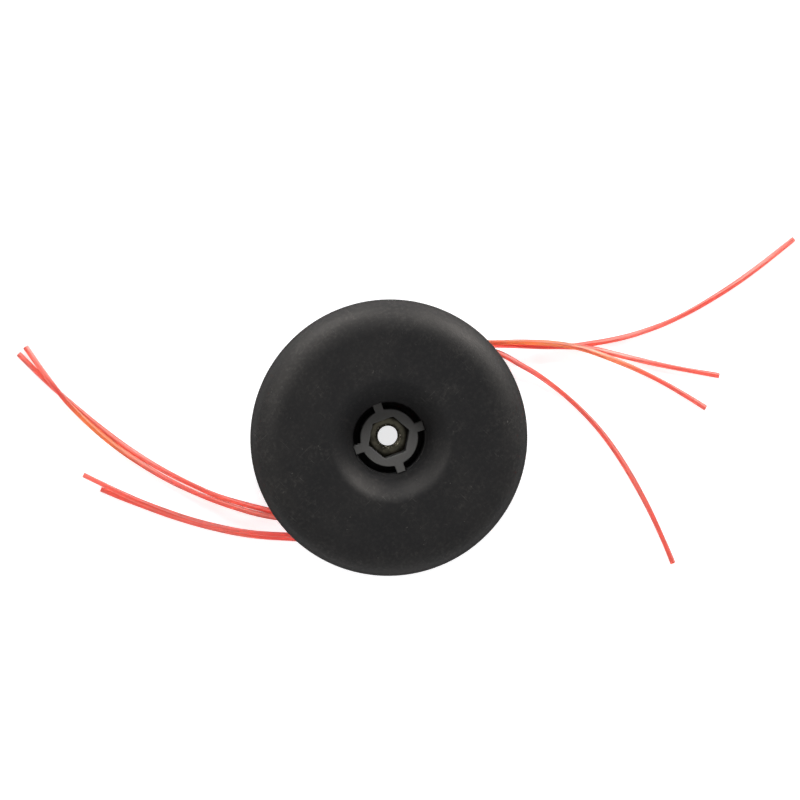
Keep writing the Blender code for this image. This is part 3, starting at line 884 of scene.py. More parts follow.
class Finishes:
    """The head's finishes, each made once."""

    def __init__(self) -> None:
        """Make the materials of the record's six slots."""
        self.black_nylon = MouldedNylon("black_nylon", (0.0124, 0.0124, 0.013), (0.05, 0.047, 0.044),
                                        roughness=0.53, gloss=0.075, wear_highlight_from=0.05, wear_highlight_to=0.061,
                                        wear_highlight=0.3, specks=1.0).material()
        self.grey_nylon = MouldedNylon("grey_nylon", (0.13, 0.128, 0.124), (0.17, 0.166, 0.16),
                                       roughness=0.6, gloss=0.1, specks=0.4).material()
        # Painted shade: a darker copy of the grey nylon for the hub's barrel and the dish, down in the
        # shade under the hub's face.
        self.shaded_grey_nylon = MouldedNylon("shaded_grey_nylon", (0.06, 0.059, 0.057), (0.09, 0.088, 0.084),
                                       roughness=0.85, gloss=0.04).material()
        self.dark_steel = Metal("dark_steel", (0.06, 0.055, 0.038), (0.026, 0.023, 0.016),
                                roughness=0.4, metallic=0.8, glint_share=0.9).material()
        self.bright_steel = Metal("bright_steel", (0.5, 0.5, 0.49), (0.42, 0.41, 0.39)).material()
        self.aluminium = Metal("aluminium", (0.6, 0.6, 0.61), (0.5, 0.5, 0.5), roughness=0.38).material()
        self.coral_line = LineNylon("coral_line").material()
        self.warm_near = LineNylon("coral_line_warm_near", -50.0 * MM, 85.0 * MM).material()
        self.warm_far = LineNylon("coral_line_warm_far", 35.0 * MM, 75.0 * MM).material()


def piece(name: str, mesh: bpy.types.Mesh, material: bpy.types.Material, slot: Slot,
          *nodes: str, degrees: float = 35.0) -> bpy.types.Object:
    """Turn a finished mesh into a piece of the head.

    Args:
        name: Name of the piece.
        mesh: Its mesh, in the head's own frame.
        material: Its material.
        slot: Slot of the record that the finish stands for.
        nodes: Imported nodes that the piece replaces.
        degrees: Angle past which an edge stays sharp.

    Returns:
        The piece, riding on the head.
    """
    mesh.name = name
    mesh.materials.clear()
    mesh.materials.append(material)
    mesh.shade_smooth()
    mesh.set_sharp_from_angle(angle=math.radians(degrees))
    thing = placed(name, mesh)
    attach(thing, Body.HEAD.value)
    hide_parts(*nodes)
    LOG.info("%s: %d faces, %s", name, len(mesh.polygons), slot.value)
    return thing


@dataclass(frozen=True)
class Lamp:
    """Square soft lamp, with its direction as seen in the picture and its height as an angle."""

    name: str
    degrees: float
    elevation: float
    size: float
    watts: float
    light: Light


@dataclass
class Studio:
    """Camera, white ground and soft light."""

    tilt: float = 7.5
    toward: float = 125.0
    distance: float = 0.970
    level: float = 0.022
    roll: float = 46.0
    focal_pixels: float = 2010.0
    frame_pixels: float = 800.0
    sensor: float = 36.0
    nearest: float = 0.01
    target: Triple = (0.01684, 0.00914, 0.0220)
    ground_sides: int = 64
    ground_radius: float = 4.0
    ground_low: float = -2.0 * MM
    ground_top: float = -0.05 * MM
    ground_glow: float = 0.72
    glow_colour: tuple[float, ...] = (1.0, 1.0, 1.01, 1.0)
    ground_tone: float = 0.7
    paper: Pair = (0.8, 0.82)
    paper_grain: Noise = Noise(900.0, 2.0, 0.5)
    horizon: float = 0.95
    zenith: float = 0.2
    fall_from: float = 0.25
    fall_to: float = 0.75
    shine_colour: Colour = (1.0, 0.94, 0.88)
    lamp_distance: float = 1.1
    lamps: tuple[Lamp, ...] = (
        Lamp("soft_lamp", 92.0, 32.0, 0.5, 12.0, Light.BODY),
        Lamp("fill_lamp", 280.0, 18.0, 0.5, 5.0, Light.BODY),
        Lamp("rim_lamp", 116.0, -6.0, 0.8, 92.0, Light.SHINE),
        Lamp("side_lamp", 48.0, 8.0, 0.7, 58.0, Light.SHINE),
        Lamp("left_lamp", 156.0, 34.0, 0.28, 12.0, Light.SHINE),
    )

    def photo_direction(self, degrees: float, elevation: float = 0.0) -> Vector:
        """Direction in the head's frame of an angle seen in the picture, raised by an elevation."""
        flat = polar(math.cos(math.radians(elevation)), degrees - self.roll)
        return flat + Vector((0.0, 0.0, math.sin(math.radians(elevation))))

    def make_camera(self) -> None:
        """Put the camera almost on the shaft's axis, looking down into the throat."""
        data = bpy.data.cameras.new("camera")
        data.sensor_width = self.sensor
        data.lens = self.focal_pixels * self.sensor / self.frame_pixels
        data.clip_start = self.nearest
        camera = placed("camera", data)
        eye = (Vector((0.0, 0.0, self.level))
               + self.distance * self.photo_direction(self.toward, 90.0 - self.tilt))
        forward = (Vector(self.target) - eye).normalized()
        across = forward.cross(self.photo_direction(90.0)).normalized()
        upward = across.cross(forward)
        turn = Matrix((across, upward, -forward)).transposed().to_4x4()
        camera.matrix_world = Matrix.Translation(eye) @ turn
        bpy.context.scene.camera = camera

    def make_ground(self) -> None:
        """Lay a pale ground that stays white in the picture and keeps the head's shadow."""
        mesh = rod("ground", self.ground_sides, self.ground_radius, self.ground_low, self.ground_top)
        material = bpy.data.materials.new("ground")
        material.use_nodes = True
        graph = emptied(material.node_tree)
        speckle = graph.noise(graph.add("TexCoord").outputs["Object"], self.paper_grain)
        paper = graph.mix(speckle, *((tone,) * 3 for tone in self.paper))
        plain = graph.add("BsdfDiffuse", {"Color": paper}).outputs[0]
        glow = graph.add("Emission", {"Color": self.glow_colour, "Strength": self.ground_glow})
        matt = graph.add("BsdfDiffuse", {"Color": (self.ground_tone,) * 3 + (1.0,)})
        lit = graph.add("AddShader", {0: glow.outputs[0], 1: matt.outputs[0]}).outputs[0]
        shown = graph.add("MixShader", {0: graph.seen_rays(), 1: plain, 2: lit}).outputs[0]
        graph.add("OutputMaterial", {"Surface": shown})
        mesh.materials.append(material)
        ground = placed("ground", mesh)

    def make_world(self) -> None:
        """Surround the head with white that lights it most from near the horizon."""
        world = bpy.data.worlds.new("surround")
        world.use_nodes = True
        graph = emptied(world.node_tree)
        height = graph.add("SeparateXYZ", {0: graph.add("TexCoord").outputs["Generated"]}).outputs[2]
        fall = graph.spread(height, self.fall_from, self.fall_to, self.horizon, self.zenith)
        paint = {"Color": (1.0, 1.0, 1.0, 1.0)}
        dim = graph.add("Background", {**paint, "Strength": fall}).outputs[0]
        white = graph.add("Background", {**paint, "Strength": 1.0}).outputs[0]
        shown = graph.add("MixShader", {0: graph.seen_rays(), 1: dim, 2: white}).outputs[0]
        graph.add("OutputWorld", {"Surface": shown})
        bpy.context.scene.world = world

    def hang(self, lamp: Lamp) -> None:
        """Hang a lamp that lights either the body of the colours or their shine.

        Args:
            lamp: The lamp.
        """
        data = bpy.data.lights.new(lamp.name, "AREA")
        data.size = lamp.size
        data.energy = lamp.watts
        if lamp.light is Light.SHINE:
            data.color = self.shine_colour
        thing = placed(lamp.name, data)
        thing.visible_glossy = lamp.light is Light.SHINE
        thing.visible_diffuse = lamp.light is Light.BODY
        thing.visible_transmission = lamp.light is Light.BODY
        thing.location = self.photo_direction(lamp.degrees, lamp.elevation) * self.lamp_distance
        thing.rotation_euler = (-thing.location).to_track_quat("-Z", "Y").to_euler()

    def build(self) -> None:
        """Set up the whole studio."""
        bpy.context.scene.view_settings.view_transform = "Standard"
        self.make_camera()
        self.make_ground()
        self.make_world()
        for lamp in self.lamps:
            self.hang(lamp)


@dataclass
class GlideBowl:
    """Domed shell with a round throat, notches for the hub's lugs, ribs and screw bosses."""

    radius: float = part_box("glide_bowl")[1].x
    height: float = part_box("glide_bowl")[1].z
    rim_low: float = 15.6 * MM
    rim_draft: float = 0.7 * MM
    rim_outer_edge: float = 0.7 * MM
    rim_inner_edge: float = 0.5 * MM
    wall: float = 3.0 * MM
    shoulder: float = 16.0 * MM
    mouth: float = 31.0 * MM
    mouth_pull: float = 5.0 * MM
    funnel_low: float = 24.0 * MM
    funnel_flare: float = 0.2 * MM
    funnel_turn: Point = (24.0 * MM, 34.4 * MM)
    funnel_lean: float = 43.0
    funnel_mouth: float = 30.0 * MM
    funnel_pulls: tuple[float, ...] = (4.2 * MM, 3.2 * MM, 2.3 * MM, 2.2 * MM)
    throat: float = 17.4 * MM
    throat_drop: float = 17.1 * MM
    throat_edge: float = 0.5 * MM
    collar_wall: float = 2.2 * MM
    collar_low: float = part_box("glide_bowl")[0].z
    collar_flare: float = 0.2 * MM
    collar_blend: float = 1.4 * MM
    collar_drop: float = 4.0 * MM
    collar_pull: Point = (3.6 * MM, 6.6 * MM)
    rib_count: int = 8
    rib_depth: float = 3.0 * MM
    rib_thickness: float = 1.8 * MM
    boss_radius: float = 4.6 * MM
    boss_low: float = 20.3 * MM
    pilot_radius: float = 2.2 * MM
    pilot_top: float = 31.6 * MM
    lug_low: float = 17.5 * MM
    notch_back: float = 2.0 * MM
    steps: int = 240
    shoulder_steps: int = 26
    inside_steps: int = 12
    collar_steps: int = 10
    edge_steps: int = 5
    funnel_steps: int = 18
    top_steps: int = 6
    boss_sides: int = 32
    pilot_sides: int = 20

    def funnel(self) -> list[Point]:
        """Outline of the funnel, up from the throat and over its turn to the top.

        Returns:
            Radius and height of each point.
        """
        wall = self.throat + self.throat_edge
        turn = Vector(self.funnel_turn)
        lean = polar(1.0, self.funnel_lean).xy
        foot_pull, low_pull, high_pull, lip_pull = self.funnel_pulls
        lower = bezier((wall, self.funnel_low), (wall + self.funnel_flare, self.funnel_low + foot_pull),
                       tuple(turn - lean * low_pull), self.funnel_turn, self.funnel_steps)
        upper = bezier(self.funnel_turn, tuple(turn + lean * high_pull),
                       (self.funnel_mouth - lip_pull, self.height), (self.funnel_mouth, self.height),
                       self.funnel_steps)
        return lower + upper[1:]

    def section(self) -> list[Point]:
        """Outline of the shell: over the shoulder, under the rim, up inside and out of the throat.

        Returns:
            Radius and height of each point.
        """
        centre = (self.radius - self.shoulder, self.height - self.shoulder)
        ceiling = self.height - self.wall
        level = self.height - self.throat_drop
        outside = arc(centre, self.shoulder, 90.0, 0.0, self.shoulder_steps)
        foot = self.radius - self.rim_draft
        rim = rounded([(self.radius, centre[1], 0.0), (foot, self.rim_low, self.rim_outer_edge),
                       (foot - self.wall - GAP, self.rim_low, self.rim_inner_edge),
                       (self.radius - self.wall, centre[1], 0.0)])[1:-1]
        inside = arc(centre, self.shoulder - self.wall, 0.0, 90.0, self.inside_steps)
        collar = self.throat + self.collar_wall
        under = bezier((self.mouth, ceiling), (self.mouth - self.mouth_pull, ceiling),
                       (collar + self.collar_pull[0], level + self.collar_pull[1]),
                       (collar + self.collar_blend, level), self.collar_steps)
        skirt = [(collar, level - self.collar_drop), (collar, self.collar_low),
                 (self.throat + self.collar_flare, self.collar_low)]
        edge = arc((self.throat + self.throat_edge, level - self.throat_edge), self.throat_edge,
                   180.0, 105.0, self.edge_steps)
        flat = centre[0] - self.funnel_mouth
        top = [(self.funnel_mouth + flat * step / self.top_steps, self.height)
               for step in range(1, self.top_steps)]
        return outside + rim + inside + under + skirt + edge + self.funnel() + top

    def build(self, finishes: Finishes) -> None:
        """Make the bowl.

        Args:
            finishes: The head's finishes.
        """
        shell = turned("glide_bowl", self.section(), self.steps)
        within = self.height - self.wall / 2
        half_rib = self.rib_thickness / 2
        half_notch = LUG_WIDTH / 2 + GAP
        joined, cuts = [], []
        for number in range(self.rib_count):
            low = (self.mouth, -half_rib, self.height - self.wall - self.rib_depth)
            high = (self.radius - self.shoulder + self.rib_depth, half_rib, within)
            angle = POST_ANGLE + (number + 0.5) * 360.0 / self.rib_count
            joined.append(block("rib", low, high, angle))
        for number in range(4):
            spot = polar(POST_CIRCLE, POST_ANGLE + number * 90.0)
            joined.append(rod("boss", self.boss_sides, self.boss_radius, self.boss_low, within, spot))
            cuts.append(rod("pilot", self.pilot_sides, self.pilot_radius, self.boss_low - OVERSHOOT,
                            self.pilot_top, spot))
            low = (self.throat - self.notch_back, -half_notch, self.lug_low - GAP)
            cuts.append(block("notch", low, (LUG_REACH + GAP, half_notch, self.height),
                              LUG_ANGLE + number * 90.0))
        mesh = worked("glide_bowl", shell, [(Operation.JOIN, joined), (Operation.CUT, cuts)])
        piece("bowl_shell", mesh, finishes.black_nylon, Slot.BLACK_NYLON, "glide_bowl")


@dataclass
class HeadBody:
    """Moulded body: hub with lugs and nut pocket, floor, ribs, posts, skirt and port housings."""

    spigot: float = 62.7 * MM
    spigot_top: float = 18.2 * MM
    skirt_height: float = 15.3 * MM
    skirt_wall: float = 3.0 * MM
    draft: float = 0.9 * MM
    chamfer: float = 0.8 * MM
    floor_low: float = 2.4 * MM
    floor_high: float = 4.4 * MM
    seat: float = 20.0 * MM
    hub: float = 14.0 * MM
    hub_face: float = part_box("head_body")[1].z
    hub_edge: float = 0.35 * MM
    lug_depth: float = 3.5 * MM
    lug_overlap: float = 0.4 * MM
    pocket_flats: float = 18.25 * MM
    pocket_floor: float = 6.5 * MM
    pocket_round: float = 0.5 * MM
    bush_hole: float = 8.3 * MM
    flange_hole: float = 9.9 * MM
    flange_top: float = 1.5 * MM
    rib_count: int = 12
    rib_thickness: float = 1.6 * MM
    post_radius: float = 4.3 * MM
    post_top: float = 20.0 * MM
    foot_radius: float = 6.2 * MM
    foot_low: float = 0.4 * MM
    head_hole: float = 4.1 * MM
    head_hole_top: float = 3.4 * MM
    screw_hole: float = 2.2 * MM
    port_face: float = 61.8 * MM
    port_back: float = 58.0 * MM
    housing: float = 43.6 * MM
    window_room: float = 2.0 * MM
    spot_face_room: float = 3.6 * MM
    cut_reach: float = 67.0 * MM
    edge: float = 0.2 * MM
    top_round: float = 0.4 * MM
    chamfer_round: float = 0.5 * MM
    foot_round: float = 0.3 * MM
    floor_round: float = 0.6 * MM
    bore_round: float = 0.2 * MM
    hub_root: float = 1.6 * MM
    skirt_root: float = 1.2 * MM
    steps: int = 192
    hub_sides: int = 180
    lug_steps: int = 24
    post_sides: int = 40
    hole_sides: int = 20
    port_steps: int = 16

    def hub_outline(self) -> list[Point]:
        """Outline of the hub's face: a circle with four square lugs.

        Returns:
            The outline's points.
        """
        points: list[Point] = []
        half = LUG_WIDTH / 2
        swing = math.degrees(math.asin(half / self.hub))
        for number in range(4):
            angle = LUG_ANGLE + number * 90.0
            turn = Matrix.Rotation(math.radians(angle), 2)
            for across in (-half, half):
                corner = turn @ Vector((LUG_REACH, across))
                points.append((corner.x, corner.y))
            points += arc((0.0, 0.0), self.hub, angle + swing, angle + 90.0 - swing, self.lug_steps)
        return points

    def pocket_outline(self) -> list[Point]:
        """Outline of the hexagon pocket, with small rounds in its corners.

        Returns:
            The outline's points.
        """
        reach = self.pocket_flats / 2 / math.cos(math.pi / 6)
        corners = [polar(reach, HEXAGON_ANGLE + 60.0 * side) for side in range(6)]
        return rounded([(spot.x, spot.y, self.pocket_round) for spot in corners], 3)

    def base_section(self) -> list[Point]:
        """Section of the dish under the hub: skirt, foot, seat, bore, hub root and floor.

        Returns:
            Radius and height of each point.
        """
        inner = self.spigot - self.skirt_wall
        foot = self.spigot - self.draft
        return rounded([
            (self.spigot, self.spigot_top, self.top_round), (self.spigot, self.skirt_height, 0.0),
            (foot, self.chamfer, self.chamfer_round), (foot - self.chamfer, 0.0, self.foot_round),
            (inner - GAP, 0.0, self.foot_round), (inner - GAP, self.floor_low, self.floor_round),
            (self.seat, self.floor_low, self.floor_round), (self.seat, 0.0, self.foot_round),
            (self.flange_hole, 0.0, self.bore_round), (self.flange_hole, self.flange_top, 0.0),
            (self.bush_hole, self.flange_top, 0.0), (self.bush_hole, self.pocket_floor, 0.0),
            (self.hub, self.pocket_floor, 0.0), (self.hub, self.floor_high, self.hub_root),
            (inner, self.floor_high, self.skirt_root), (inner, self.spigot_top, self.top_round),
        ])

    def port_cut(self, name: str, side: Side, room: float, start: float) -> bpy.types.Mesh:
        """Slot that is cut through a port, outward.

        Args:
            name: Name of the mesh.
            side: Which port.
            room: How much longer and higher it is than the port.
            start: Distance of its inner end from the axis.

        Returns:
            The mesh.
        """
        rings = [slot_ring(side, depth, PORT_LENGTH + room, PORT_HEIGHT + room, PORT_MIDDLE,
                           self.port_steps) for depth in (start, self.cut_reach)]
        return skin(name, rings, capped=True)

    def base_tools(self) -> list[tuple[Operation, list[bpy.types.Mesh]]]:
        """What is joined to the dish and cut out of it.

        Returns:
            The operations, in order, each with its meshes.
        """
        ribs, feet, posts, housings, cuts, faces = [], [], [], [], [], []
        half_rib = self.rib_thickness / 2
        for number in range(self.rib_count):
            low = (self.seat - WELD, -half_rib, WELD)
            high = (self.spigot - self.skirt_wall + WELD, half_rib, self.floor_low + WELD)
            ribs.append(block("rib", low, high, (number + 0.5) * 360.0 / self.rib_count))
        for number in range(4):
            spot = polar(POST_CIRCLE, POST_ANGLE + number * 90.0)
            feet.append(rod("foot", self.post_sides, self.foot_radius, self.foot_low,
                            self.floor_high - WELD, spot))
            posts.append(rod("post", self.post_sides, self.post_radius, self.floor_low + WELD,
                             self.post_top, spot))
            cuts.append(rod("head_hole", self.post_sides, self.head_hole, -OVERSHOOT,
                            self.head_hole_top, spot))
            cuts.append(rod("screw_hole", self.hole_sides, self.screw_hole, self.head_hole_top,
                            self.post_top + OVERSHOOT, spot))
        for side in Side:
            near, far = sorted((side.value * self.port_back, side.value * self.port_face))
            housings.append(block("housing", (near, -self.housing / 2, self.floor_low),
                                  (far, self.housing / 2, self.skirt_height)))
            cuts.append(self.port_cut("window", side, self.window_room, self.port_back - self.skirt_wall))
            faces.append(self.port_cut("spot_face", side, self.spot_face_room, self.port_face))
        return [*((Operation.JOIN, meshes) for meshes in (ribs, feet, posts, housings)),
                (Operation.CUT, cuts), (Operation.CUT, faces)]

    def build(self, finishes: Finishes) -> None:
        """Make the body as its dish, its hub and the hub's face.

        Args:
            finishes: The head's finishes.
        """
        pocket = self.pocket_outline()
        crown_low = self.hub_face - self.lug_depth
        crown = plate_mesh("hub_face", [self.hub_outline(), pocket], crown_low, self.hub_face,
                           self.hub_edge)
        barrel_outline = [(spot.x, spot.y) for spot in level_ring(self.hub, 0.0, self.hub_sides)]
        barrel = plate_mesh("hub_barrel", [barrel_outline, pocket], self.pocket_floor,
                            crown_low + self.lug_overlap)
        dish = turned("head_dish", self.base_section(), self.steps)
        dish = worked("head_dish", dish, self.base_tools(), Edge(self.edge))
        # The barrel and the dish take the darker, painted-shade copy of the grey nylon.
        for name, mesh, finish in (("hub_face", crown, finishes.grey_nylon),
                                   ("hub_barrel", barrel, finishes.shaded_grey_nylon),
                                   ("head_dish", dish, finishes.shaded_grey_nylon)):
            piece(name, mesh, finish, Slot.GREY_NYLON, "head_body")


@dataclass
class DriveNut:
    """Thin hexagon nut with a chamfer on both faces and a real thread."""

    low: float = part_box("drive_nut")[0].z
    high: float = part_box("drive_nut")[1].z
    flats: float = 18.0 * MM
    corner_share: float = 1.147
    minor: float = 4.95 * MM
    major: float = 5.95 * MM
    pitch: float = 1.75 * MM
    flank: float = 1.35
    root_flat: float = 0.2
    sink: float = 6.3 * MM
    sink_depth: float = 0.72 * MM
    face: float = 8.75 * MM
    face_rings: Pair = (6.5 * MM, 7.7 * MM)
    chamfer: float = 18.0
    chamfer_shares: tuple[float, ...] = (0.25, 0.5, 0.75, 1.0)
    steps: int = 216
    rows: int = 54

    def outer_radius(self, degrees: float) -> float:
        """Distance of the hexagon's wall from the axis at an angle, its corners a little rounded."""
        swing = (degrees - HEXAGON_ANGLE) % 60.0 - 30.0
        return min(self.flats / 2 / math.cos(math.radians(swing)), self.flats / 2 * self.corner_share)

    def thread_radius(self, degrees: float, height: float) -> float:
        """Distance of the thread from the axis, opened out by the countersinks.

        Args:
            degrees: Angle round the axis.
            height: Height over the ground.

        Returns:
            The distance.
        """
        turn = (height - self.low) / self.pitch - degrees / 360.0
        rise = abs((turn % 1.0) * 2.0 - 1.0)
        crest = min(1.0, max(0.0, rise * self.flank - self.root_flat))
        tooth = self.minor + (self.major - self.minor) * crest
        end = min(height - self.low, self.high - height)
        cone = self.sink - (self.sink - self.minor) * end / self.sink_depth
        return max(tooth, cone)

    def chamfer_ring(self, share: float, level: float, slope: float) -> Ring:
        """Ring of a chamfered face between its flat and the hexagon's wall.

        Args:
            share: Share of the way out to the wall.
            level: Height of the flat.
            slope: Rise of the chamfer for each metre outward.

        Returns:
            The ring.
        """
        points = []
        for step in range(self.steps):
            angle = 360.0 * step / self.steps
            radius = self.face + (self.outer_radius(angle) - self.face) * share
            points.append(polar(radius, angle, level + (radius - self.face) * slope))
        return points

    def build(self, finishes: Finishes) -> None:
        """Make the nut as one skin of rings, up its thread and down its flats.

        Args:
            finishes: The head's finishes.
        """
        angles = [360.0 * step / self.steps for step in range(self.steps)]
        rings: list[Ring] = []
        for row in range(self.rows + 1):
            height = self.low + (self.high - self.low) * row / self.rows
            rings.append([polar(self.thread_radius(angle, height), angle, height) for angle in angles])
        slope = math.tan(math.radians(self.chamfer))
        flat = (*self.face_rings, self.face)
        rings += [level_ring(radius, self.high, self.steps) for radius in flat]
        rings += [self.chamfer_ring(share, self.high, -slope) for share in self.chamfer_shares]
        rings += [self.chamfer_ring(share, self.low, slope) for share in reversed(self.chamfer_shares)]
        rings += [level_ring(radius, self.low, self.steps) for radius in reversed(flat)]
        mesh = skin("drive_nut", rings, around=True)
        piece("nut", mesh, finishes.dark_steel, Slot.DARK_STEEL, "drive_nut", degrees=22.0)


@dataclass
class ShaftBush:
    """Flanged steel bush in the shaft's bore."""

    bore: float = 6.3 * MM
    outer: float = 8.0 * MM
    flange: float = 9.6 * MM
    flange_depth: float = 1.2 * MM
    top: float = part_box("shaft_bush")[1].z
    edge: float = 0.3 * MM
    flange_edge: float = 0.2 * MM
    flange_root: float = 0.15 * MM
    lead_in: float = 0.5 * MM
    steps: int = 128

    def build(self, finishes: Finishes) -> None:
        """Make the bush.

        Args:
            finishes: The head's finishes.
        """
        corners = [(self.outer, self.top, self.edge), (self.outer, self.flange_depth, self.flange_root),
                   (self.flange, self.flange_depth, self.flange_edge), (self.flange, 0.0, self.edge),
                   (self.bore, 0.0, self.lead_in), (self.bore, self.top, self.edge)]
        mesh = turned("bush", rounded(corners), self.steps)
        piece("bush", mesh, finishes.bright_steel, Slot.BRIGHT_STEEL, "shaft_bush")


@dataclass
class PostSet:
    """Screws through the four posts, and sleeves on the two that carry the lines."""

    sleeve_inner: float = 4.6 * MM
    sleeve_outer: float = 5.4 * MM
    sleeve_low: float = 4.7 * MM
    sleeve_top: float = 16.5 * MM
    sleeve_outer_edge: float = 0.3 * MM
    sleeve_inner_edge: float = 0.2 * MM
    sleeve_steps: int = 64
    shank: float = 1.9 * MM
    core: float = 1.45 * MM
    pitch: float = 1.4 * MM
    crest_share: float = 2.2
    head: float = 3.8 * MM
    head_low: float = 0.9 * MM
    head_top: float = 3.1 * MM
    head_round: float = 1.0 * MM
    head_edge: float = 0.1 * MM
    tip: float = 31.0 * MM
    tip_length: float = 2.2 * MM
    tip_share: float = 0.3
    socket_flats: float = 3.0 * MM
    socket_depth: float = 1.4 * MM
    socket_chamfer: float = 0.15 * MM
    socket_mouth: float = 1.08
    socket_middle: float = 0.02
    sides: int = 48
    dome_steps: int = 6
    rows: int = 120

    def sleeve_mesh(self, centre: Vector) -> bpy.types.Mesh:
        """Sleeve that a line bears on, with rounded ends."""
        corners = [(self.sleeve_outer, self.sleeve_top, self.sleeve_outer_edge),
                   (self.sleeve_outer, self.sleeve_low, self.sleeve_outer_edge),
                   (self.sleeve_inner, self.sleeve_low, self.sleeve_inner_edge),
                   (self.sleeve_inner, self.sleeve_top, self.sleeve_inner_edge)]
        return turned("sleeve", rounded(corners, 3), self.sleeve_steps, centre)

    def socket_ring(self, centre: Vector, scale: float, height: float) -> Ring:
        """Hexagon ring of the screw's socket.

        Args:
            centre: Foot of the screw's axis.
            scale: Size of the ring against the socket's own.
            height: Height over the ground.

        Returns:
            The ring.
        """
        points = []
        for side in range(self.sides):
            angle = 360.0 * side / self.sides
            wall = self.socket_flats / 2 / math.cos(math.radians(angle % 60.0 - 30.0))
            points.append(centre + polar(wall * scale, angle, height))
        return points

    def thread_ring(self, centre: Vector, height: float) -> Ring:
        """Ring of the screw's thread, drawn in toward the tip.

        Args:
            centre: Foot of the screw's axis.
            height: Height over the ground.

        Returns:
            The ring.
        """
        taper = min(1.0, (self.tip - height) / self.tip_length + self.tip_share)
        points = []
        for side in range(self.sides):
            angle = 360.0 * side / self.sides
            turn = (height / self.pitch - angle / 360.0) % 1.0
            crest = max(0.0, 1.0 - abs(turn * 2.0 - 1.0) * self.crest_share)
            radius = (self.core + (self.shank - self.core) * crest) * taper
            points.append(centre + polar(radius, angle, height))
        return points

    def screw_mesh(self, centre: Vector) -> bpy.types.Mesh:
        """Pan-head screw with a hexagon socket and a coarse thread.

        Args:
            centre: Foot of the screw's axis.

        Returns:
            The mesh.
        """
        floor = self.head_low + self.socket_depth
        rings = [self.socket_ring(centre, scale, height)
                 for scale, height in ((self.socket_middle, floor), (1.0, floor),
                                       (1.0, self.head_low + self.socket_chamfer),
                                       (self.socket_mouth, self.head_low))]
        dome = arc((self.head - self.head_round, self.head_low + self.head_round), self.head_round,
                   -90.0, 0.0, self.dome_steps)
        head = (*dome, (self.head, self.head_top - self.head_edge),
                (self.head - self.head_edge, self.head_top))
        rings += [level_ring(radius, height, self.sides, centre) for radius, height in head]
        length = self.tip - self.head_top
        rings += [self.thread_ring(centre, self.head_top + length * row / self.rows)
                  for row in range(self.rows + 1)]
        return skin("screw", rings, capped=True)

    def build(self, finishes: Finishes) -> None:
        """Make both sleeves and all four screws.

        Args:
            finishes: The head's finishes.
        """
        for number in (1, 2):
            spot = polar(POST_CIRCLE, POST_ANGLE + (number - 1) * 180.0)
            piece(f"sleeve_{number}", self.sleeve_mesh(spot), finishes.aluminium, Slot.ALUMINIUM,
                  f"post_sleeve_{number}")
        for number in (1, 2, 3, 4):
            spot = polar(POST_CIRCLE, POST_ANGLE + (number - 1) * 90.0)
            piece(f"screw_{number}", self.screw_mesh(spot), finishes.bright_steel, Slot.BRIGHT_STEEL,
                  f"bowl_screw_{number}")


@dataclass
class PortLiner:
    """Pressed aluminium liner of a port, with a rolled lip."""

    side: Side
    back: float = 57.5 * MM
    lip_back: float = 62.1 * MM
    front: float = 62.7 * MM
    wall: float = 0.7 * MM
    lip: float = 0.8 * MM
    edge: float = 0.25 * MM
    back_edge: float = 0.15 * MM
    lip_root: float = 0.1 * MM
    mouth_edge: float = 0.5 * MM
    steps: int = 18

    def build(self, finishes: Finishes) -> None:
        """Make the liner.

        Args:
            finishes: The head's finishes.
        """
        outside = self.wall + self.lip
        corners = [(self.back, 0.0, self.edge), (self.back, self.wall, self.back_edge),
                   (self.lip_back, self.wall, self.lip_root), (self.lip_back, outside, self.edge),
                   (self.front, outside, self.edge), (self.front, 0.0, self.mouth_edge)]
        rings = [slot_ring(self.side, depth, PORT_LENGTH + 2 * out, PORT_HEIGHT + 2 * out, PORT_MIDDLE,
                           self.steps) for depth, out in rounded(corners)]
        name = self.side.name.lower()
        mesh = skin(f"liner_{name}", rings, around=True)
        piece(f"liner_{name}", mesh, finishes.aluminium, Slot.ALUMINIUM, f"port_liner_{name}")


# Routes of the eight tails, in millimetres, from the port outward to the cut end
TAIL_RIGHT_UP = (
    (61.8, -1.0, 6.7), (70.0, -9.6, 5.8), (79.8, -20.9, 3.7), (86.2, -28.0, 2.5),
    (95.8, -37.4, 1.5), (102.5, -42.7, 1.4), (108.9, -47.5, 1.4), (115.7, -52.1, 1.4),
    (123.4, -56.6, 1.4), (134.9, -62.3, 1.4), (147.3, -67.0, 1.4), (160.6, -70.9, 1.4),
    (174.5, -74.2, 1.4), (189.1, -76.8, 1.4), (204.3, -78.9, 1.4), (209.7, -79.6, 1.4),
)
TAIL_RIGHT_MIDDLE = (
    (61.8, 0.1, 9.4), (70.3, -9.0, 8.5), (79.9, -20.2, 6.5), (86.2, -27.5, 5.3),
    (95.7, -37.9, 4.2), (99.2, -42.4, 3.9), (103.1, -48.4, 3.2), (108.9, -58.4, 1.9),
    (113.6, -66.5, 1.4), (119.9, -76.9, 1.4), (126.7, -87.4, 1.4), (135.3, -100.2, 1.4),
)
TAIL_RIGHT_TOP = (
    (61.8, 1.2, 12.1), (70.5, -7.7, 11.2), (75.3, -12.6, 10.2), (80.7, -18.4, 9.1),
    (86.1, -24.6, 8.1), (91.1, -31.0, 7.4), (95.6, -37.7, 7.0), (99.6, -45.3, 6.3),
    (104.7, -57.2, 4.6), (109.6, -70.2, 2.4), (113.7, -83.2, 1.4), (117.1, -97.0, 1.4),
    (119.2, -106.7, 1.4),
)
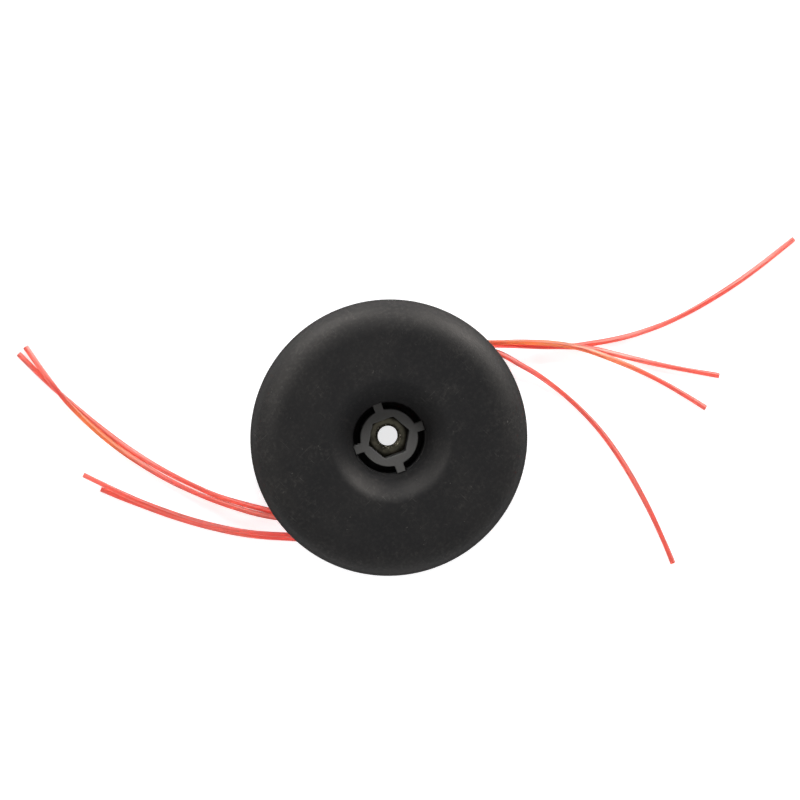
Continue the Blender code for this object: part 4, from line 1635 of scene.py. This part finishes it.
TAIL_RIGHT_DOWN = (
    (61.8, -3.6, 11.0), (65.7, -9.3, 9.9), (67.9, -14.6, 8.7), (70.1, -23.3, 6.6),
    (72.4, -32.5, 4.5), (74.0, -42.4, 2.7), (75.0, -52.8, 1.6), (75.2, -63.8, 1.4),
    (74.5, -75.8, 1.4), (72.4, -89.2, 1.4), (68.6, -104.9, 1.4), (63.1, -122.5, 1.4),
    (56.7, -139.3, 1.4), (52.3, -149.7, 1.4),
)
TAIL_LEFT_INSIDE = (
    (-61.8, 8.2, 6.8), (-68.2, 18.5, 5.2), (-74.2, 29.0, 3.3), (-79.7, 40.0, 1.9),
    (-83.9, 52.0, 1.4), (-87.6, 64.6, 1.4), (-90.6, 77.8, 1.4), (-92.8, 91.7, 1.4),
    (-94.2, 106.4, 1.4), (-95.0, 121.5, 1.4), (-95.4, 137.0, 1.4), (-94.8, 156.5, 1.4),
)
TAIL_LEFT_OVER = (
    (-61.8, 4.9, 9.5), (-70.3, 17.0, 7.6), (-76.2, 27.4, 5.6), (-81.6, 38.4, 3.7),
    (-86.2, 50.0, 2.3), (-90.1, 62.5, 1.9), (-93.0, 75.8, 2.3), (-95.1, 89.9, 3.0),
    (-96.1, 105.0, 3.7), (-95.8, 121.2, 4.2), (-94.6, 131.0, 4.2), (-92.6, 143.5, 3.0),
    (-90.0, 156.3, 1.5),
)
TAIL_LEFT_TOP = (
    (-61.8, -8.0, 9.6), (-68.5, 0.6, 8.2), (-76.9, 10.3, 6.4), (-84.1, 19.7, 5.0),
    (-90.5, 29.8, 4.3), (-96.3, 40.4, 4.2), (-101.5, 51.6, 4.1), (-106.3, 63.2, 4.0),
    (-110.5, 75.1, 3.6), (-114.4, 87.4, 2.8), (-116.3, 93.4, 2.4),
)
TAIL_LEFT_OUTSIDE = (
    (-61.8, -10.6, 6.8), (-69.3, -1.5, 5.4), (-78.3, 8.7, 3.4), (-85.4, 18.3, 2.1),
    (-91.6, 28.5, 1.5), (-97.4, 39.3, 1.4), (-102.7, 50.4, 1.4), (-107.6, 61.8, 1.4),
    (-112.4, 73.4, 1.4), (-115.8, 82.5, 1.4),
)


class WarmTail(Enum):
    """Which tail of a line is turned orange."""

    NONE = "none"
    INNER = "inner"
    OUTER = "outer"


@dataclass
class CuttingLine:
    """One square nylon line, bent round a post, with two tails out of its port."""

    number: int
    post_angle: float
    inner_route: Sequence[Triple]
    outer_route: Sequence[Triple]
    level: float
    phase: float
    diameter: float = 2.4 * MM
    corner: float = 0.8 * MM
    corner_steps: int = 5
    wrap_radius: float = 6.9 * MM
    wrap_steps: int = 30
    step: float = 1.2 * MM
    twist: float = 1.1
    rest: float = 1.52 * MM
    warm_tail: WarmTail = WarmTail.NONE

    def tail_points(self, route: Sequence[Triple]) -> Ring:
        """Points close together along a smooth curve through a tail's route.

        Args:
            route: The tail's own points in millimetres.

        Returns:
            The points, from the port to the cut end.
        """
        knots = [Vector(point) * MM for point in route]
        padded = [knots[0] * 2 - knots[1], *knots, knots[-1] * 2 - knots[-2]]
        points = [knots[0]]
        for a, b, c, d in zip(padded, padded[1:], padded[2:], padded[3:]):
            count = max(1, round((c - b).length / self.step))
            for number in range(1, count + 1):
                t = number / count
                spot = 0.5 * (2 * b + (c - a) * t + (2 * a - 5 * b + 4 * c - d) * t ** 2
                              + (3 * b - a - 3 * c + d) * t ** 3)
                spot.z = max(spot.z, self.rest)
                points.append(spot)
        return points

    def tangent_angle(self, post: Vector, target: Vector, turn: int) -> float:
        """Angle at the post where a line from the target meets its bend."""
        reach = target.xy - post.xy
        return math.atan2(reach.y, reach.x) + turn * math.acos(self.wrap_radius / reach.length)

    def bight_points(self, inner: Vector, outer: Vector) -> Ring:
        """Points from the inner tail's port, round the post and back to the outer tail's.

        Args:
            inner: Where the inner tail leaves.
            outer: Where the outer tail leaves.

        Returns:
            The points, without the two ends.
        """
        post = polar(POST_CIRCLE, self.post_angle)
        start = self.tangent_angle(post, inner, -1)
        end = self.tangent_angle(post, outer, 1) - math.tau
        while end > start:
            end -= math.tau
        bend = []
        for number in range(self.wrap_steps + 1):
            angle = start + (end - start) * number / self.wrap_steps
            bend.append(Vector((post.x + self.wrap_radius * math.cos(angle),
                                post.y + self.wrap_radius * math.sin(angle), self.level)))
        points: Ring = []
        for near, far in ((inner, bend[0]), (bend[-1], outer)):
            count = max(2, round((far - near).length / self.step))
            run = [near.lerp(far, number / count) for number in range(1, count)]
            points += run + bend if near is inner else run
        return points

    def section(self) -> list[Point]:
        """Square outline of the line with rounded corners."""
        half = self.diameter / 2
        return rounded([(half, half, self.corner), (-half, half, self.corner),
                        (-half, -half, self.corner), (half, -half, self.corner)], self.corner_steps)

    def rings(self, points: Ring) -> list[Ring]:
        """Rings of the twisted square section along a path.

        Args:
            points: The path.

        Returns:
            One ring for each point.
        """
        outline = self.section()
        normal = Vector((0.0, 0.0, 1.0))
        travelled = 0.0
        rows: list[Ring] = []
        for index, point in enumerate(points):
            ahead = points[min(index + 1, len(points) - 1)]
            behind = points[max(index - 1, 0)]
            along = (ahead - behind).normalized()
            normal = (normal - along * normal.dot(along)).normalized()
            across = along.cross(normal)
            travelled += (point - behind).length if index else 0.0
            angle = math.radians(self.phase + self.twist * travelled / MM)
            turned_normal = normal * math.cos(angle) + across * math.sin(angle)
            turned_across = across * math.cos(angle) - normal * math.sin(angle)
            rows.append([point + turned_normal * x + turned_across * y for x, y in outline])
        return rows

    def tube(self, name: str, rows: list[Ring]) -> bpy.types.Mesh:
        """Closed skin over rings, with a map of the way round and the length for the streaks.

        Args:
            name: Name of the mesh.
            rows: The rings.

        Returns:
            The mesh.
        """
        mesh = skin(name, rows, capped=True)
        width = len(rows[0])
        outline = [Vector(point) for point in self.section()]
        gone = [0.0]
        for here, following in zip(outline, outline[1:] + outline[:1]):
            gone.append(gone[-1] + (following - here).length)
        shares = [value / gone[-1] for value in gone]
        layer = mesh.uv_layers.new(name="length")
        for face in mesh.polygons:
            wraps = any(mesh.loops[loop].vertex_index % width == width - 1 for loop in face.loop_indices)
            for loop in face.loop_indices:
                row, place = divmod(mesh.loops[loop].vertex_index, width)
                share = shares[width] if wraps and place == 0 else shares[place]
                layer.data[loop].uv = (share, row * self.step)
        return mesh

    def build(self, finishes: Finishes) -> None:
        """Make the two tails and the stretch between them.

        Args:
            finishes: The head's finishes.
        """
        inner = self.tail_points(self.inner_route)
        outer = self.tail_points(self.outer_route)
        bight = self.bight_points(inner[0], outer[0])
        whole = list(reversed(inner)) + bight + outer
        rows = self.rings(whole)
        first = len(inner)
        last = len(inner) + len(bight)
        node = f"line_{self.number}"
        for label, part, path in (("inner", rows[:first], inner), ("outer", rows[last:], outer)):
            name = f"{node}_{label}_tail"
            finish = finishes.coral_line
            if self.warm_tail.value == label:
                finish = finishes.warm_near if self.warm_tail is WarmTail.OUTER else finishes.warm_far
            tail = piece(name, self.tube(name, part), finish, Slot.CORAL_LINE, node, degrees=60.0)
        name = f"{node}_bight"
        bight_tube = self.tube(name, rows[first - 1:last + 1])
        piece(name, bight_tube, finishes.coral_line, Slot.CORAL_LINE, node, degrees=60.0)


@dataclass
class TrimmerHead:
    """The whole head and its lines."""

    right_post: float = POST_ANGLE
    left_post: float = POST_ANGLE + 180.0
    low_wrap: float = 7.0 * MM
    high_wrap: float = 10.2 * MM

    def lines(self) -> list[CuttingLine]:
        """The four lines, two on each post."""
        return [
            CuttingLine(1, self.right_post, TAIL_RIGHT_UP, TAIL_RIGHT_MIDDLE, self.low_wrap, 20.0),
            CuttingLine(2, self.right_post, TAIL_RIGHT_DOWN, TAIL_RIGHT_TOP, self.high_wrap, 65.0,
                        warm_tail=WarmTail.OUTER),
            CuttingLine(3, self.left_post, TAIL_LEFT_OVER, TAIL_LEFT_TOP, self.high_wrap, 49.0,
                        warm_tail=WarmTail.INNER),
            CuttingLine(4, self.left_post, TAIL_LEFT_INSIDE, TAIL_LEFT_OUTSIDE, self.low_wrap, 55.0),
        ]

    def build(self, finishes: Finishes) -> None:
        """Make every piece, the lines first.

        Args:
            finishes: The head's finishes.
        """
        for line in self.lines():
            line.build(finishes)
        GlideBowl().build(finishes)
        HeadBody().build(finishes)
        DriveNut().build(finishes)
        ShaftBush().build(finishes)
        PostSet().build(finishes)
        for side in Side:
            PortLiner(side).build(finishes)


def main() -> None:
    """Set up the studio, build the head and report its pieces."""
    logging.basicConfig(level=logging.INFO, format="%(message)s")
    Studio().build()
    TrimmerHead().build(Finishes())


if __name__ == "__main__":
    main()
